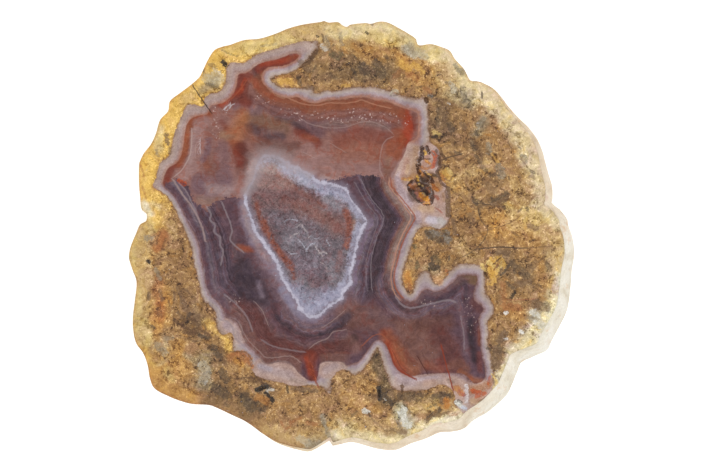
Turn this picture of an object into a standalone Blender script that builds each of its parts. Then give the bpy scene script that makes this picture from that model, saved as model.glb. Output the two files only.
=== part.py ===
# Half of a sawn agate nodule, lying on its knobbly back with the polished face up.
# Metres, +Z up. The origin is the middle of the flat spot that the stone rests on,
# +X runs along the longer side of the face and +Y towards the face's pointed tongue.

import math

import bmesh
import bpy
import numpy as np
from mathutils import Vector, noise

MM = 0.001

# driving dimensions, in millimetres
FACE_HEIGHT = 38.0
DOME_DEPTH = 39.4          # where the rounded back would close, if it had no flat spot
DOME_POWER = 2.3           # 2 is an ellipse, more is fuller towards the flat spot
BULGE_DEPTH = 7.0          # how far under the face the skin is widest on the flared side
FLARE_FULL = 3.0           # the flare that has the whole of that depth
RING_EASE = 1.2            # rings crowd towards the flat spot
SEGMENTS = 144
RINGS = 26

# the back's relief, all of it cut inwards so that the plan stays as the outline
LUMP_SIZE = 19.0
LUMP_DEEP = 4.0
KNOB_SIZE = 9.0
KNOB_DEEP = 1.6
CREASE = 0.15              # how soft the creases between the lumps are
RELIEF_FADE = 8.0          # the relief grows over this depth, and fades over it at the flat spot
PLAIN_HARMONICS = 7        # the rounded outline that the back settles to has only these
DETAIL_FADE = 20.0         # the outline's own notches and points are gone this far down

# the stone's outline from above, clockwise, (x, y)
OUTLINE = [
    (-42.5, 14.5), (-40.2, 18.4), (-38.4, 23.2), (-36.6, 26.0), (-34.4, 28.6), (-30.6, 31.7),
    (-28.8, 35.3), (-27.6, 37.1), (-26.2, 37.8), (-21.6, 39.2), (-18.4, 39.5), (-12.8, 41.5),
    (-9.8, 42.3), (-5.6, 43.0), (-2.8, 42.8), (-1.0, 41.9), (2.6, 42.6), (6.8, 42.8),
    (8.8, 41.9), (12.6, 39.6), (13.2, 38.3), (15.8, 38.4), (18.2, 37.7), (19.6, 37.0),
    (22.4, 33.4), (23.6, 31.3), (26.0, 30.7), (29.8, 27.9), (33.4, 23.6), (35.2, 21.9),
    (37.2, 19.2), (38.6, 15.2), (40.1, 10.0), (40.1, 6.5), (41.6, 5.4), (43.2, 3.3),
    (44.2, -0.2), (44.6, -3.6), (43.8, -10.8), (43.2, -14.8), (40.0, -21.2), (39.2, -22.9),
    (34.0, -25.4), (33.3, -27.0), (31.0, -32.0), (27.6, -35.1), (22.4, -38.7), (17.6, -39.4),
    (11.8, -41.6), (8.6, -42.9), (5.0, -42.6), (-0.4, -41.3), (-3.9, -42.0), (-4.4, -41.0),
    (-7.8, -42.9), (-9.2, -43.1), (-13.2, -42.1), (-16.4, -40.6), (-20.8, -37.4), (-27.2, -34.3),
    (-32.0, -33.6), (-36.6, -32.1), (-39.4, -30.6), (-40.4, -28.6), (-40.9, -25.8), (-43.2, -21.4),
    (-43.8, -15.8), (-43.1, -9.2), (-44.6, -4.4), (-44.3, -2.2), (-42.4, 2.3), (-41.2, 3.0),
    (-41.1, 4.4), (-42.1, 5.4), (-42.6, 10.4),
]
OUTLINE_STEPS = 8
AZIMUTHS = 1440

# how far the skin stands out past the face's edge: (azimuth in degrees, flare)
FLARE = [(-115.0, 0.0), (-85.0, 1.2), (-45.0, 3.0), (-15.0, 2.4), (10.0, 1.6), (50.0, 0.0)]

# open pits in the face: (name, x, y, half length along X, half length along Y, depth, turn)
PITS = [
    ("vug_drusy", 13.4, 8.6, 2.5, 2.0, 2.0, 20.0),
    ("vug_dark", 14.6, 11.6, 1.0, 1.3, 1.6, -15.0),
    ("vug_gold", 27.7, -6.9, 1.1, 2.6, 1.2, -12.0),
    ("pit_top", 14.9, 27.3, 0.55, 0.8, 0.8, 0.0),
    ("pit_upper", 14.3, 17.1, 0.7, 0.8, 0.9, 0.0),
    ("pit_middle", 13.3, 15.3, 0.8, 0.6, 0.9, 30.0),
    ("pit_brown", 28.6, 15.6, 0.55, 0.95, 0.9, -10.0),
]
PIT_ROUGHNESS = 0.22       # share of a pit's size by which its wall wanders
PIT_GRAIN = 0.9            # size of that wander, against the pit's own half lengths


def clear_scene():
    for item in list(bpy.data.objects):
        bpy.data.objects.remove(item, do_unlink=True)


def smooth_outline(points, steps):
    """A closed Catmull-Rom curve through the points."""
    ring = np.array(points)
    before = np.roll(ring, 1, axis=0)
    after = np.roll(ring, -1, axis=0)
    beyond = np.roll(ring, -2, axis=0)
    rows = []
    for step in range(steps):
        t = step / steps
        rows.append(0.5 * (
            2.0 * ring
            + (after - before) * t
            + (2.0 * before - 5.0 * ring + 4.0 * after - beyond) * t ** 2
            + (3.0 * ring - before - 3.0 * after + beyond) * t ** 3
        ))
    return np.stack(rows, axis=1).reshape(-1, 2)


def outline_by_azimuth():
    """Even azimuths, the outline's radius at each and the radius of a rounded outline."""
    curve = smooth_outline(OUTLINE, OUTLINE_STEPS)
    bearing = np.arctan2(curve[:, 1], curve[:, 0])
    azimuth = np.linspace(-math.pi, math.pi, AZIMUTHS, endpoint=False)
    order = np.argsort(bearing)
    radius = np.interp(azimuth, bearing[order], np.hypot(*curve.T)[order], period=2.0 * math.pi)
    waves = np.fft.rfft(radius)
    waves[PLAIN_HARMONICS + 1:] = 0.0
    return azimuth, radius, np.fft.irfft(waves, AZIMUTHS)


def smoothstep(value, high):
    t = min(max(value / high, 0.0), 1.0)
    return t * t * (3.0 - 2.0 * t)


def crease(point):
    """1 in the creases between rounded lumps, and about 0 on top of them."""
    swell = noise.noise(point)
    return max(0.0, 1.0 - 2.0 * math.sqrt(swell * swell + CREASE * CREASE))


def relief(point):
    """Depth of the back's relief at a point."""
    lumps = crease(point / LUMP_SIZE + Vector((1.0, 4.0, 2.0)))
    knobs = crease(point / KNOB_SIZE + Vector((7.0, 3.0, 5.0)))
    return LUMP_DEEP * lumps + KNOB_DEEP * knobs


def skin_point(azimuth, depth, table):
    """The skin's point at this azimuth, so far under the face before its relief."""
    azimuths, radii, plain = table
    outline = float(np.interp(azimuth, azimuths, radii, period=2.0 * math.pi))
    rounded = float(np.interp(azimuth, azimuths, plain, period=2.0 * math.pi))
    degrees, flares = zip(*FLARE)
    flare = float(np.interp(math.degrees(azimuth), degrees, flares))
    bulge = BULGE_DEPTH * flare / FLARE_FULL
    under = max(depth - bulge, 0.0)
    full = outline + (rounded - outline) * smoothstep(under, DETAIL_FADE)
    t = under / (DOME_DEPTH - bulge)
    share = (1.0 - t ** DOME_POWER) ** (1.0 / DOME_POWER)
    above = max(1.0 - depth / bulge, 0.0) if bulge > 0.0 else 0.0
    radius = min(full * share, outline) - flare * above ** 2
    height = FACE_HEIGHT - depth
    across = Vector((math.cos(azimuth), math.sin(azimuth), 0.0))
    up = Vector((0.0, 0.0, 1.0))
    inwards = (up * t ** (DOME_POWER - 1.0) - across * share ** (DOME_POWER - 1.0)).normalized()
    inwards.z *= smoothstep(height, RELIEF_FADE)
    point = across * radius + up * height
    return point + inwards * relief(point) * smoothstep(under, RELIEF_FADE)


def make_stone(collection):
    """A drum of rings, each ring pulled to the skin at its own depth."""
    table = outline_by_azimuth()
    mesh = bmesh.new()
    bmesh.ops.create_cone(mesh, cap_ends=True, segments=SEGMENTS, radius1=1.0, radius2=1.0, depth=1.0)
    upright = [edge for edge in mesh.edges if abs(edge.verts[0].co.z - edge.verts[1].co.z) > 0.5]
    bmesh.ops.subdivide_edges(mesh, edges=upright, cuts=RINGS - 1, use_grid_fill=True)
    for vert in mesh.verts:
        down = 0.5 - vert.co.z
        depth = FACE_HEIGHT * math.sin(0.5 * math.pi * min(max(down, 0.0), 1.0)) ** RING_EASE
        azimuth = math.atan2(vert.co.y, vert.co.x)
        vert.co = skin_point(azimuth, depth, table) * MM
    bmesh.ops.recalc_face_normals(mesh, faces=mesh.faces)
    return add_object("agate_nodule", mesh, collection)


def make_pit(name, x, y, half_x, half_y, depth, turn, collection):
    """A lumpy egg sunk to its middle in the face, which cuts one open pit."""
    mesh = bmesh.new()
    bmesh.ops.create_icosphere(mesh, subdivisions=3, radius=1.0)
    angle = math.radians(turn)
    for vert in mesh.verts:
        wander = noise.noise(vert.co / PIT_GRAIN + Vector((x, y, 0.0)))
        shape = vert.co * (1.0 + PIT_ROUGHNESS * wander)
        along = shape.x * half_x
        side = shape.y * half_y
        vert.co = Vector((
            x + along * math.cos(angle) - side * math.sin(angle),
            y + along * math.sin(angle) + side * math.cos(angle),
            FACE_HEIGHT + shape.z * depth,
        )) * MM
    cutter = add_object(name, mesh, collection)
    cutter.hide_render = True
    cutter.display_type = "WIRE"
    return cutter


def add_object(name, mesh, collection):
    data = bpy.data.meshes.new(name)
    mesh.to_mesh(data)
    mesh.free()
    item = bpy.data.objects.new(name, data)
    collection.objects.link(item)
    return item


def add_collection(name):
    collection = bpy.data.collections.new(name)
    bpy.context.scene.collection.children.link(collection)
    return collection


def cut_pits(stone, cutters):
    for cutter in cutters:
        cut = stone.modifiers.new(cutter.name, "BOOLEAN")
        cut.operation = "DIFFERENCE"
        cut.solver = "EXACT"
        cut.object = cutter


def rind_material():
    material = bpy.data.materials.new("banded agate in brown rind")
    material.use_nodes = True
    shader = material.node_tree.nodes["Principled BSDF"]
    shader.inputs["Base Color"].default_value = (0.42, 0.26, 0.16, 1.0)
    shader.inputs["Roughness"].default_value = 0.4
    shader.inputs["Metallic"].default_value = 0.0
    return material


def build():
    clear_scene()
    parts = add_collection("agate nodule")
    cutters = add_collection("cutters")
    stone = make_stone(parts)
    stone.data.materials.append(rind_material())
    pits = [make_pit(*pit, cutters) for pit in PITS]
    cut_pits(stone, pits)
    stone.data.shade_smooth()
    stone.data.set_sharp_from_angle(angle=math.radians(60.0))


build()
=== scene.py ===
import math

import bmesh
import bpy
import numpy as np
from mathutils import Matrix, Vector, noise


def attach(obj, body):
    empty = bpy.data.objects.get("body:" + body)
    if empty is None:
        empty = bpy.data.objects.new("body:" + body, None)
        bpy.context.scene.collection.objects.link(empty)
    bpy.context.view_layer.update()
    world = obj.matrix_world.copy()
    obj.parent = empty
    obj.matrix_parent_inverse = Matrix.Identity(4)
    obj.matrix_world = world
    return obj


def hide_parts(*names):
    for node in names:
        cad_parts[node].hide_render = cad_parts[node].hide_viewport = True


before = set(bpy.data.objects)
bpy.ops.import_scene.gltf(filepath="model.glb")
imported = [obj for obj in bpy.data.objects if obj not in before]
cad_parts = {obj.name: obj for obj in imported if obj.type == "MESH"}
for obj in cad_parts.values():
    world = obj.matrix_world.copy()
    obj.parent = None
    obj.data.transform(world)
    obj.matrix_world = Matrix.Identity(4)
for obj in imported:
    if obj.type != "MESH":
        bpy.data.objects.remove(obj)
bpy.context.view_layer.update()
mm = 0.001
noiseSeed = 1
noise.seed_set(noiseSeed)        # so that every run draws the same noise
print("frame loaded")


# where a place in the picture lies on the stone: 0.2 mm a pixel, from the stone's middle
picture = {
    "middle": (352.0, 236.0),
    "mmPerPixel": 0.2,
    "width": 708,
    "centreX": 354.0,
}
pixel = picture["mmPerPixel"]


def onStone(points):
    spots = np.array(points, float).reshape(-1, 2)
    x = (spots[:, 0] - picture["middle"][0]) * pixel
    y = (picture["middle"][1] - spots[:, 1]) * pixel
    return np.stack([x, y], axis=1)


# places in the picture, written as "x,y x,y"
def readPath(text):
    return [tuple(float(value) for value in spot.split(",")) for spot in text.split()]


# curves, distances and noise that the shape and the paint share
def smoothCurve(points, closed, steps):
    ring = np.array(points, float)
    if closed:
        before, after, beyond = (np.roll(ring, shift, axis=0) for shift in (1, -1, -2))
        here = ring
    else:
        padded = np.vstack([2 * ring[0] - ring[1], ring, 2 * ring[-1] - ring[-2]])
        before, here, after, beyond = padded[:-3], padded[1:-2], padded[2:-1], padded[3:]
    rows = []
    for step in range(steps):
        t = step / steps
        rows.append(0.5 * (
            2 * here + (after - before) * t
            + (2 * before - 5 * here + 4 * after - beyond) * t ** 2
            + (3 * here - before - 3 * after + beyond) * t ** 3
        ))
    curve = np.stack(rows, axis=1).reshape(-1, 2)
    return curve if closed else np.vstack([curve, ring[-1]])


# distance to a path, and the side of it: +1 on its left, -1 on its right
def pathDistance(spots, path):
    if len(path) == 1:
        return np.hypot(*(spots - path[0]).T), np.ones(len(spots))
    best = np.full(len(spots), 1e9)
    side = np.ones(len(spots))
    for start, end in zip(path[:-1], path[1:]):
        along = end - start
        offset = spots - start
        t = np.clip(offset @ along / max(along @ along, 1e-12), 0, 1)
        gap = np.hypot(*(offset - t[:, None] * along).T)
        closer = gap < best
        best = np.where(closer, gap, best)
        turn = along[0] * offset[:, 1] - along[1] * offset[:, 0]
        side = np.where(closer, np.where(turn < 0, -1.0, 1.0), side)
    return best, side


def insideOutline(spots, outline):
    inside = np.zeros(len(spots), bool)
    x, y = spots.T
    for (x0, y0), (x1, y1) in zip(outline, np.roll(outline, -1, axis=0)):
        if y0 == y1:
            continue
        crosses = (y0 > y) != (y1 > y)
        inside ^= crosses & (x < x0 + (y - y0) * (x1 - x0) / (y1 - y0))
    return inside


# depth in mm inside a closed outline, and below 0 outside it
def outlineDepth(spots, points, steps=3):
    outline = smoothCurve(onStone(points), True, steps)
    gap, _ = pathDistance(spots, np.vstack([outline, outline[:1]]))
    return np.where(insideOutline(spots, outline), gap, -gap)


def smoothStep(value, low, high):
    t = np.clip((value - low) / (high - low), 0, 1)
    return t * t * (3 - 2 * t)


# two even noise fields over the face, about -1 to 1, with features of this size in mm
def wander(spots, size, seed):
    shift = Vector((seed * 7.3, seed * 3.1, seed))
    rows = [noise.noise_vector(Vector((x, y, 0)) / size + shift)[:2] for x, y in spots]
    return np.array(rows)


def linear(colour):
    share = np.array(colour, float) / 255
    return np.where(share <= 0.04045, share / 12.92, ((share + 0.055) / 1.055) ** 2.4)


# the stone's outline in the picture, clockwise
silhouette = readPath("""
139,166 140,161 144,153 151,144 156,133 160,120 168,111 170,101 180,93 190,85.5 199,77.5 203,70 208,59.5
214,50.5 221,47 231,44.5 244,40 260,38.5 276,33.5 288,28.5 303,24.5 320,22 324,21 329,22.5 338,22 342,25
347,26.8 351,24.5 365,23 371,23.8 378,21.8 386,22 396,26.5 415,38 416.5,43.5 421,45.3 431,44 443,47.5
450,51 455,59 464,69 470,80 476,81 482,82.5 493,88 501,96.5 509,107 519,118 528,126.5 538,140 543,152
545,160 549,174 552.5,186 553,198 552.5,203.5 560,209 568,219.5 569,226 573,237 575,254 572.5,270 571,290
568,310 560,327 552,342 548,350.5 534,357 522,363 518.5,371 511,389 507,396 490,411.5 474,421 464,429.5
450,432.5 440,433 425,439.5 411,444 395,450.5 377,449 360,444 350,442.5 338,445 332.5,446 330,441 326,443
313,450.5 306,451.5 286,446.5 270,439 248,423 232,415 216,407.5 208,405 192,404 179,400.5 169,396.5
155,389 150,379 147.5,365 143,353 136,343 133,329 133,315 135,299 136.5,282 132.5,270 129,258 130.5,247
136,233.5 140,224.5 146,221 146.5,214 141.5,209 140,196 139,184
""")

stone = {
    "faceHeight": 38.0,
    "domeDepth": 39.4,
    "domePower": 2.3,
    "bulgeDepth": 7.0,
    "flareFull": 3.0,
    "flare": [(-115.0, 0.0), (-85.0, 1.2), (-45.0, 3.0), (-15.0, 2.4), (10.0, 1.6), (50.0, 0.0)],
    "outlineSteps": 6,
    "azimuths": 2880,
    "plainHarmonics": 7,
    "detailFade": 20.0,
    "lumpSize": 19.0,
    "lumpDeep": 4.0,
    "knobSize": 9.0,
    "knobDeep": 1.6,
    "crease": 0.15,
    "reliefFade": 8.0,
    "grainSizes": ((3.2, 0.42), (1.5, 0.2)),   # the rind's own finer relief: (size, depth)
    "grainFade": 3.5,
    "edgeRound": 0.35,
    "edgeRings": 3,
    "faceCells": 272,
    "rindSides": 340,
    "rindRings": 56,
    "ringEase": 1.2,
    "rindDrop": 0.35,
}


def stoneTable():
    curve = smoothCurve(onStone(silhouette), True, stone["outlineSteps"])
    azimuth = np.linspace(-math.pi, math.pi, stone["azimuths"], endpoint=False)
    bearing = np.arctan2(curve[:, 1], curve[:, 0])
    order = np.argsort(bearing)
    radius = np.interp(azimuth, bearing[order], np.hypot(*curve.T)[order], period=2 * math.pi)
    waves = np.fft.rfft(radius)
    waves[stone["plainHarmonics"] + 1:] = 0
    return azimuth, radius, np.fft.irfft(waves, stone["azimuths"])


def aroundStone(azimuth, table):
    azimuths, radii, plain = table
    outline = np.interp(azimuth, azimuths, radii, period=2 * math.pi)
    rounded = np.interp(azimuth, azimuths, plain, period=2 * math.pi)
    flare = np.interp(np.degrees(azimuth), *zip(*stone["flare"]))
    return outline, rounded, flare


def creaseAt(point):
    swell = noise.noise(point)
    return max(0.0, 1 - 2 * math.sqrt(swell * swell + stone["crease"] ** 2))


def skinPoint(azimuth, depth, table):
    outline, rounded, flare = (float(value) for value in aroundStone(azimuth, table))
    bulge = stone["bulgeDepth"] * flare / stone["flareFull"]
    under = max(depth - bulge, 0.0)
    full = outline + (rounded - outline) * float(smoothStep(under, 0, stone["detailFade"]))
    t = under / (stone["domeDepth"] - bulge)
    power = stone["domePower"]
    share = (1 - t ** power) ** (1 / power)
    above = max(1 - depth / bulge, 0.0) if bulge > 0 else 0.0
    radius = min(full * share, outline) - flare * above ** 2
    height = stone["faceHeight"] - depth
    across = Vector((math.cos(azimuth), math.sin(azimuth), 0))
    up = Vector((0, 0, 1))
    inwards = (up * t ** (power - 1) - across * share ** (power - 1)).normalized()
    inwards.z *= float(smoothStep(height, 0, stone["reliefFade"]))
    point = across * radius + up * height
    relief = stone["lumpDeep"] * creaseAt(point / stone["lumpSize"] + Vector((1, 4, 2)))
    relief += stone["knobDeep"] * creaseAt(point / stone["knobSize"] + Vector((7, 3, 5)))
    relief *= float(smoothStep(under, 0, stone["reliefFade"]))
    for size, deep in stone["grainSizes"]:
        grain = 0.5 + 0.5 * noise.noise(point / size + Vector((2, 9, 4)))
        relief += deep * grain * float(smoothStep(under, 0, stone["grainFade"]))
    return point + inwards * relief


# open pits in the face: (x, y, half width, half height, depth, turn), places in the picture
pits = [
    (419.0, 193.0, 12.5, 10.0, 2.0, 20),
    (425.0, 178.0, 4.5, 5.5, 0.8, -15),
    (490.5, 270.5, 5.5, 13.0, 0.7, -12),
    (426.5, 99.5, 2.8, 4.0, 0.8, 0),
    (423.5, 150.5, 3.5, 4.0, 0.9, 0),
    (418.5, 159.5, 4.0, 3.0, 0.9, 30),
    (495.0, 158.0, 2.8, 4.8, 0.9, -10),
    (486.0, 274.0, 3.0, 4.0, 0.9, 0),
    (262.0, 388.5, 6.5, 2.2, 0.5, 18),
    (379.0, 393.5, 1.8, 6.0, 0.6, 0),
    (225.0, 64.0, 2.6, 3.2, 0.5, 0),
    (148.5, 261.0, 1.8, 2.0, 0.4, 0),
]

# their broken walls and floors: sizes in mm, the rest in shares of the depth or the half width
pitLook = {
    "lumps": 0.9,
    "crumbs": 0.4,
    "crumbShare": 0.6,
    "floor": 0.75,
    "floorSwing": 0.4,
    "wallSwing": 0.18,
    "wallFrom": 1.05,
    "wallTo": 0.55,
    "fadeAtRim": 0.02,
}


# how far each spot of the face is sunk in a pit, in mm
def pitDepths(spots):
    sunk = np.zeros(len(spots))
    crumbs = wander(spots, pitLook["crumbs"], 6)[:, 0]
    rough = wander(spots, pitLook["lumps"], 5)[:, 0] + pitLook["crumbShare"] * crumbs
    for x, y, halfWide, halfHigh, deep, turn in pits:
        offset = spots - onStone([(x, y)])[0]
        angle = math.radians(turn)
        along = offset[:, 0] * math.cos(angle) + offset[:, 1] * math.sin(angle)
        side = offset[:, 1] * math.cos(angle) - offset[:, 0] * math.sin(angle)
        reach = np.hypot(along / halfWide, side / halfHigh) / pixel
        floor = deep * (pitLook["floor"] + pitLook["floorSwing"] * rough)
        wall = smoothStep(reach + pitLook["wallSwing"] * rough, pitLook["wallFrom"], pitLook["wallTo"])
        sunk = np.maximum(sunk, floor * wall)
    return sunk


def buildStone():
    table = stoneTable()
    faceHeight, edge = stone["faceHeight"], stone["edgeRound"]
    body = bmesh.new()

    # the rind: a drum of rings, each pulled to the skin at its own depth
    sides = stone["rindSides"]
    bmesh.ops.create_cone(body, cap_ends=False, segments=sides, radius1=1, radius2=1, depth=1)
    upright = [line for line in body.edges if abs(line.verts[0].co.z - line.verts[1].co.z) > 0.5]
    bmesh.ops.subdivide_edges(body, edges=upright, cuts=stone["rindRings"] - 1, use_grid_fill=True)
    top = edge + stone["rindDrop"]
    for vert in body.verts:
        down = min(max(0.5 - vert.co.z, 0.0), 1.0)
        depth = top + (faceHeight - top) * math.sin(math.pi / 2 * down) ** stone["ringEase"]
        vert.co = skinPoint(math.atan2(vert.co.y, vert.co.x), depth, table)
    for face in body.faces:
        face.material_index = 1
    rims = [line for line in body.edges if line.is_boundary]
    upper = [line for line in rims if line.verts[0].co.z > faceHeight / 2]
    lower = [line for line in rims if line.verts[0].co.z < faceHeight / 2]
    base = bmesh.ops.edgeloop_fill(body, edges=lower, mat_nr=1)["faces"]
    print("rind:", len(body.verts), "points, base of", len(base), "face")

    # the face: a square grid pulled round to a disc, and the disc to the stone's outline
    cells = stone["faceCells"]
    sheet = bmesh.ops.create_grid(body, x_segments=cells, y_segments=cells, size=1)["verts"]
    grid = np.array([vert.co[:2] for vert in sheet])
    u, v = grid.T
    wide = np.abs(u) >= np.abs(v)
    ring = np.where(wide, u, v)
    safe = np.where(ring == 0, 1, ring)
    turn = np.where(wide, math.pi / 4 * v / safe, math.pi / 2 - math.pi / 4 * u / safe)
    azimuth = np.arctan2(ring * np.sin(turn), ring * np.cos(turn))
    outline, _, flare = aroundStone(azimuth, table)
    reach = np.abs(ring) * (outline - flare - edge)
    spots = np.stack([reach * np.cos(azimuth), reach * np.sin(azimuth)], axis=1)
    heights = faceHeight - pitDepths(spots) * smoothStep(1 - np.abs(ring), 0, pitLook["fadeAtRim"])
    for vert, (x, y), height in zip(sheet, spots, heights):
        vert.co = (x, y, height)
    print("face:", len(sheet), "points")

    # its rounded edge, down to the rind
    rim = [line for line in body.edges if line.is_boundary and line.verts[0].co.z > faceHeight - edge]
    for step in range(1, stone["edgeRings"] + 1):
        grown = bmesh.ops.extrude_edge_only(body, edges=rim)["geom"]
        rim = [item for item in grown if isinstance(item, bmesh.types.BMEdge)]
        angle = math.pi / 2 * step / stone["edgeRings"]
        for vert in (item for item in grown if isinstance(item, bmesh.types.BMVert)):
            bearing = math.atan2(vert.co.y, vert.co.x)
            full, _, out = (float(value) for value in aroundStone(bearing, table))
            far = full - out - edge + edge * math.sin(angle)
            vert.co = (far * math.cos(bearing), far * math.sin(bearing),
                       faceHeight - edge + edge * math.cos(angle))
    joined = bmesh.ops.bridge_loops(body, edges=rim + upper)["faces"]
    for face in joined:
        face.material_index = 1
    bmesh.ops.recalc_face_normals(body, faces=body.faces)
    for face in body.faces:
        face.smooth = True
    for vert in body.verts:
        vert.co *= mm
    mesh = bpy.data.meshes.new("agateStone")
    body.to_mesh(mesh)
    body.free()
    piece = bpy.data.objects.new("agate_stone", mesh)
    bpy.context.scene.collection.objects.link(piece)
    print("stone:", len(mesh.polygons), "faces")
    return piece


stonePiece = buildStone()
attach(stonePiece, "root")
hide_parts("agate_nodule")


# outlines in the picture that the face's zones are painted from
agateOutline = readPath("""
318,42 317.5,48 313,53 308,59 301,65.5 296,69.5 290,72.5 281,74.5 273,77 271,80 275,84.5 281,87.5 289,88
299,88 306,88.5 311,86.5 315,89 312.5,92.5 318,93.5 325,90.5 332,91.5 339,90.5 348,87.8 358,87 372,87.3
384,89 397,94 410,97.5 418,98.5 424,97.5 427.5,103 428.5,117 429,135 430,143 436,147 440.5,154 440.5,166
437,172 440,179 445,184.5 448,193 449.5,208 449.5,218 446,225 440,228.5 432,226.5 424,226.5 418,230
413,240 409,253 405.5,264 402.5,273 402.5,283 407,293 410.5,294.5 414,289.5 416,281 419,274.5 424,271
429,272 432,278 434.5,283.5 438.5,284 444,279 449,273 454,267.5 461,264 470,264 480,266 484,270.5
484.5,282 485.5,292 489.5,299.5 493.5,305 493.5,313 489.5,318 487,323 488.5,333 487,341 489.5,351 492,363
493.5,378 492,388 486,397 477.5,402 471,408.5 465.5,414.5 460,409 454,403 456,398 452,389 447,385.5
439,384 429,388.5 415,391 400,390 391.5,386 387.5,377 383,364 379.5,352 377.5,348 373,354 367,364 360,372
354,374.5 349,371 343,369 336,372.5 331.5,380 331,390 329.5,394.5 325,389 319,386 305,385 293,386 281,382
268,380 256,375 251.5,367 249,360 243,354.5 234.5,351.5 233,345 234,338 231,331.5 223,335 218,329.5
216,321 216,312 209.5,305 202.5,298.5 200,288 197,274 193.5,261 191.5,248 187,235 179,217 174,206 168,197
160,191 153,186.5 156,179 158.5,168 162,161.5 169,156.5 172,147 174.5,134 179.5,122.5 183,112.5 187,106
194,104.7 204,107 204.5,99 209,94.7 217,93.3 223,89 226.5,80 227,69 229.5,63.5 236,63 246,62.7 252,58
263,52.5 277,49 292,44 305,41.3 314,41.2
""")
fillOutline = readPath("""
255,66 262,62.5 270,60.3 278,58.6 284,56.5 290,53.8 296,53.2 299,55 297,59.5 291,63 284,66 276,66.8
269,67.3 265,70 262.5,74 262,79 264,84 269,89 275,93.5 282,96.5 290,97.5 297,96.5 303,99.5 309,102
316,103 323,101 330,99.2 338,99.5 345,98.5 352,97.5 360,96.8 367,97.3 375,99.6 384,100.3 390,101.8
395,104.3 401,107 409,109.5 415,111.5 418,115 418.5,122 418.3,130 416.5,138 411.5,141 407.5,144 406,150
403.5,156 400.5,162 397.5,168.5 394.5,175 391.8,180.5 391,186 393.5,191.5 398,197 402.5,202 407,207.5
411,213 413.8,218.5 411.5,224.5 407.5,231 403.5,238 400.3,245 398.3,252 396.8,259 394.7,266 393.3,273
393.5,281 395.5,288 399.5,294 404.5,299.5 410,302 415.5,300.5 419,296 422,291.5 426,289.3 430,290.3
434.5,292 439.5,291.5 445,288.5 450,284.7 454.5,281 458.5,276.5 462.5,275.5 468,275 474,275.5 477,276.5
477.3,281 475,287 473.3,293 474,299 478,303.5 482.5,306.5 483.5,310.5 480.5,314 478.5,319 479.3,326
480.5,334 480.5,342 481,350 482.5,358 484.5,366 485.5,374 484,380 480,383 475,384 471,381 467,376.5
461.5,373.5 455,373 448,373 441,373.5 434,373.8 427,374.3 420,375 413.5,376.5 407.5,376 402,372.5
397.5,367.5 393.5,361.5 390.5,354.5 387.5,348 383.5,342.5 378.5,339.8 373.5,342.5 369,348.5 365,354
361,359.5 356.5,362.5 351,364 346.5,366.5 344,363.5 339,362 332,361.8 325.5,362 320.5,363.5 319.3,367
318.5,373 316.5,379 311,381 304,378 298.5,373 294.5,368 289.5,364 283,362 276,362.5 269.5,364.5 264,363.5
260,358.5 255,351.5 250,347 245.5,342 242,335 240.5,328 236.5,322 232,318.3 226.8,318 224.5,312.5
221.5,306 216,300 210.5,295 207,288.5 205.3,281 204.3,273.5 202.8,266 201.5,258.5 200.3,250.5 198.3,242.5
195,234.5 190.5,227 186.5,219 182.8,211 179,204 175,197.3 170.5,192 165.5,188.3 162.8,184 163.2,178.5
165,173 167.8,168 173,165 177.8,161.5 180.5,156 182.5,149 183.8,141.5 184.5,134 186,126.5 189,120.5
193.5,117 200,115.3 206,114.3 209,110.5 210.5,105.5 216,104.3 222.5,102.8 228.5,98.8 233.3,92.8
236.3,85.5 237.2,78 239.2,73.5 245.5,73.2 250.5,69.8
""")
crystalOutline = readPath("""
246,193 245,200 247,208 250,216 252,225 256,233 262,240 266,246 271,254 276,262 280,271 283,280 288,288
293,295 297,303 301,310 306,315.5 311,318 316,317 322,313 330,306 336,302 342,298 344,290 350,285 350,275
352,265 354,255 357,246 360,236 363,228 367,222 364,217 358,208 352,200 348,194 345.5,188.5 338,185.5
330,184 324,182.5 318,181.5 310,174 300,168.5 288,163 280,157.5 272,155 264,156 258,161 256,170 251,183
""")
# the warm upper filling ends at level lines left and right of the crystal
upperOutline = readPath("""
150,178 176,179 187,185 193.5,200.5 202.7,208 207,211 212,204 219.5,200.5 225.6,197.5 236,196.7 243,200.5
262,200 300,200 321,181 328,181 338,179 348,176.5 354,175.2 367,175 378,176.3 385,181 396,190 440,190
440,60 300,30 150,60
""")


# Paint is written one stroke a line: its colour, its strength, its reach in pixels of the picture
# (then a slash and how far it stays solid, where that isn't 0.3 of the reach) and its path there.
def readStrokes(text):
    strokes = []
    for row in text.strip().splitlines():
        name, strength, reach, path = row.split(maxsplit=3)
        reach, _, solid = reach.partition("/")
        reach = float(reach)
        strokes.append((name, float(strength), reach, float(solid or 0.3 * reach), readPath(path)))
    return strokes


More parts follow.
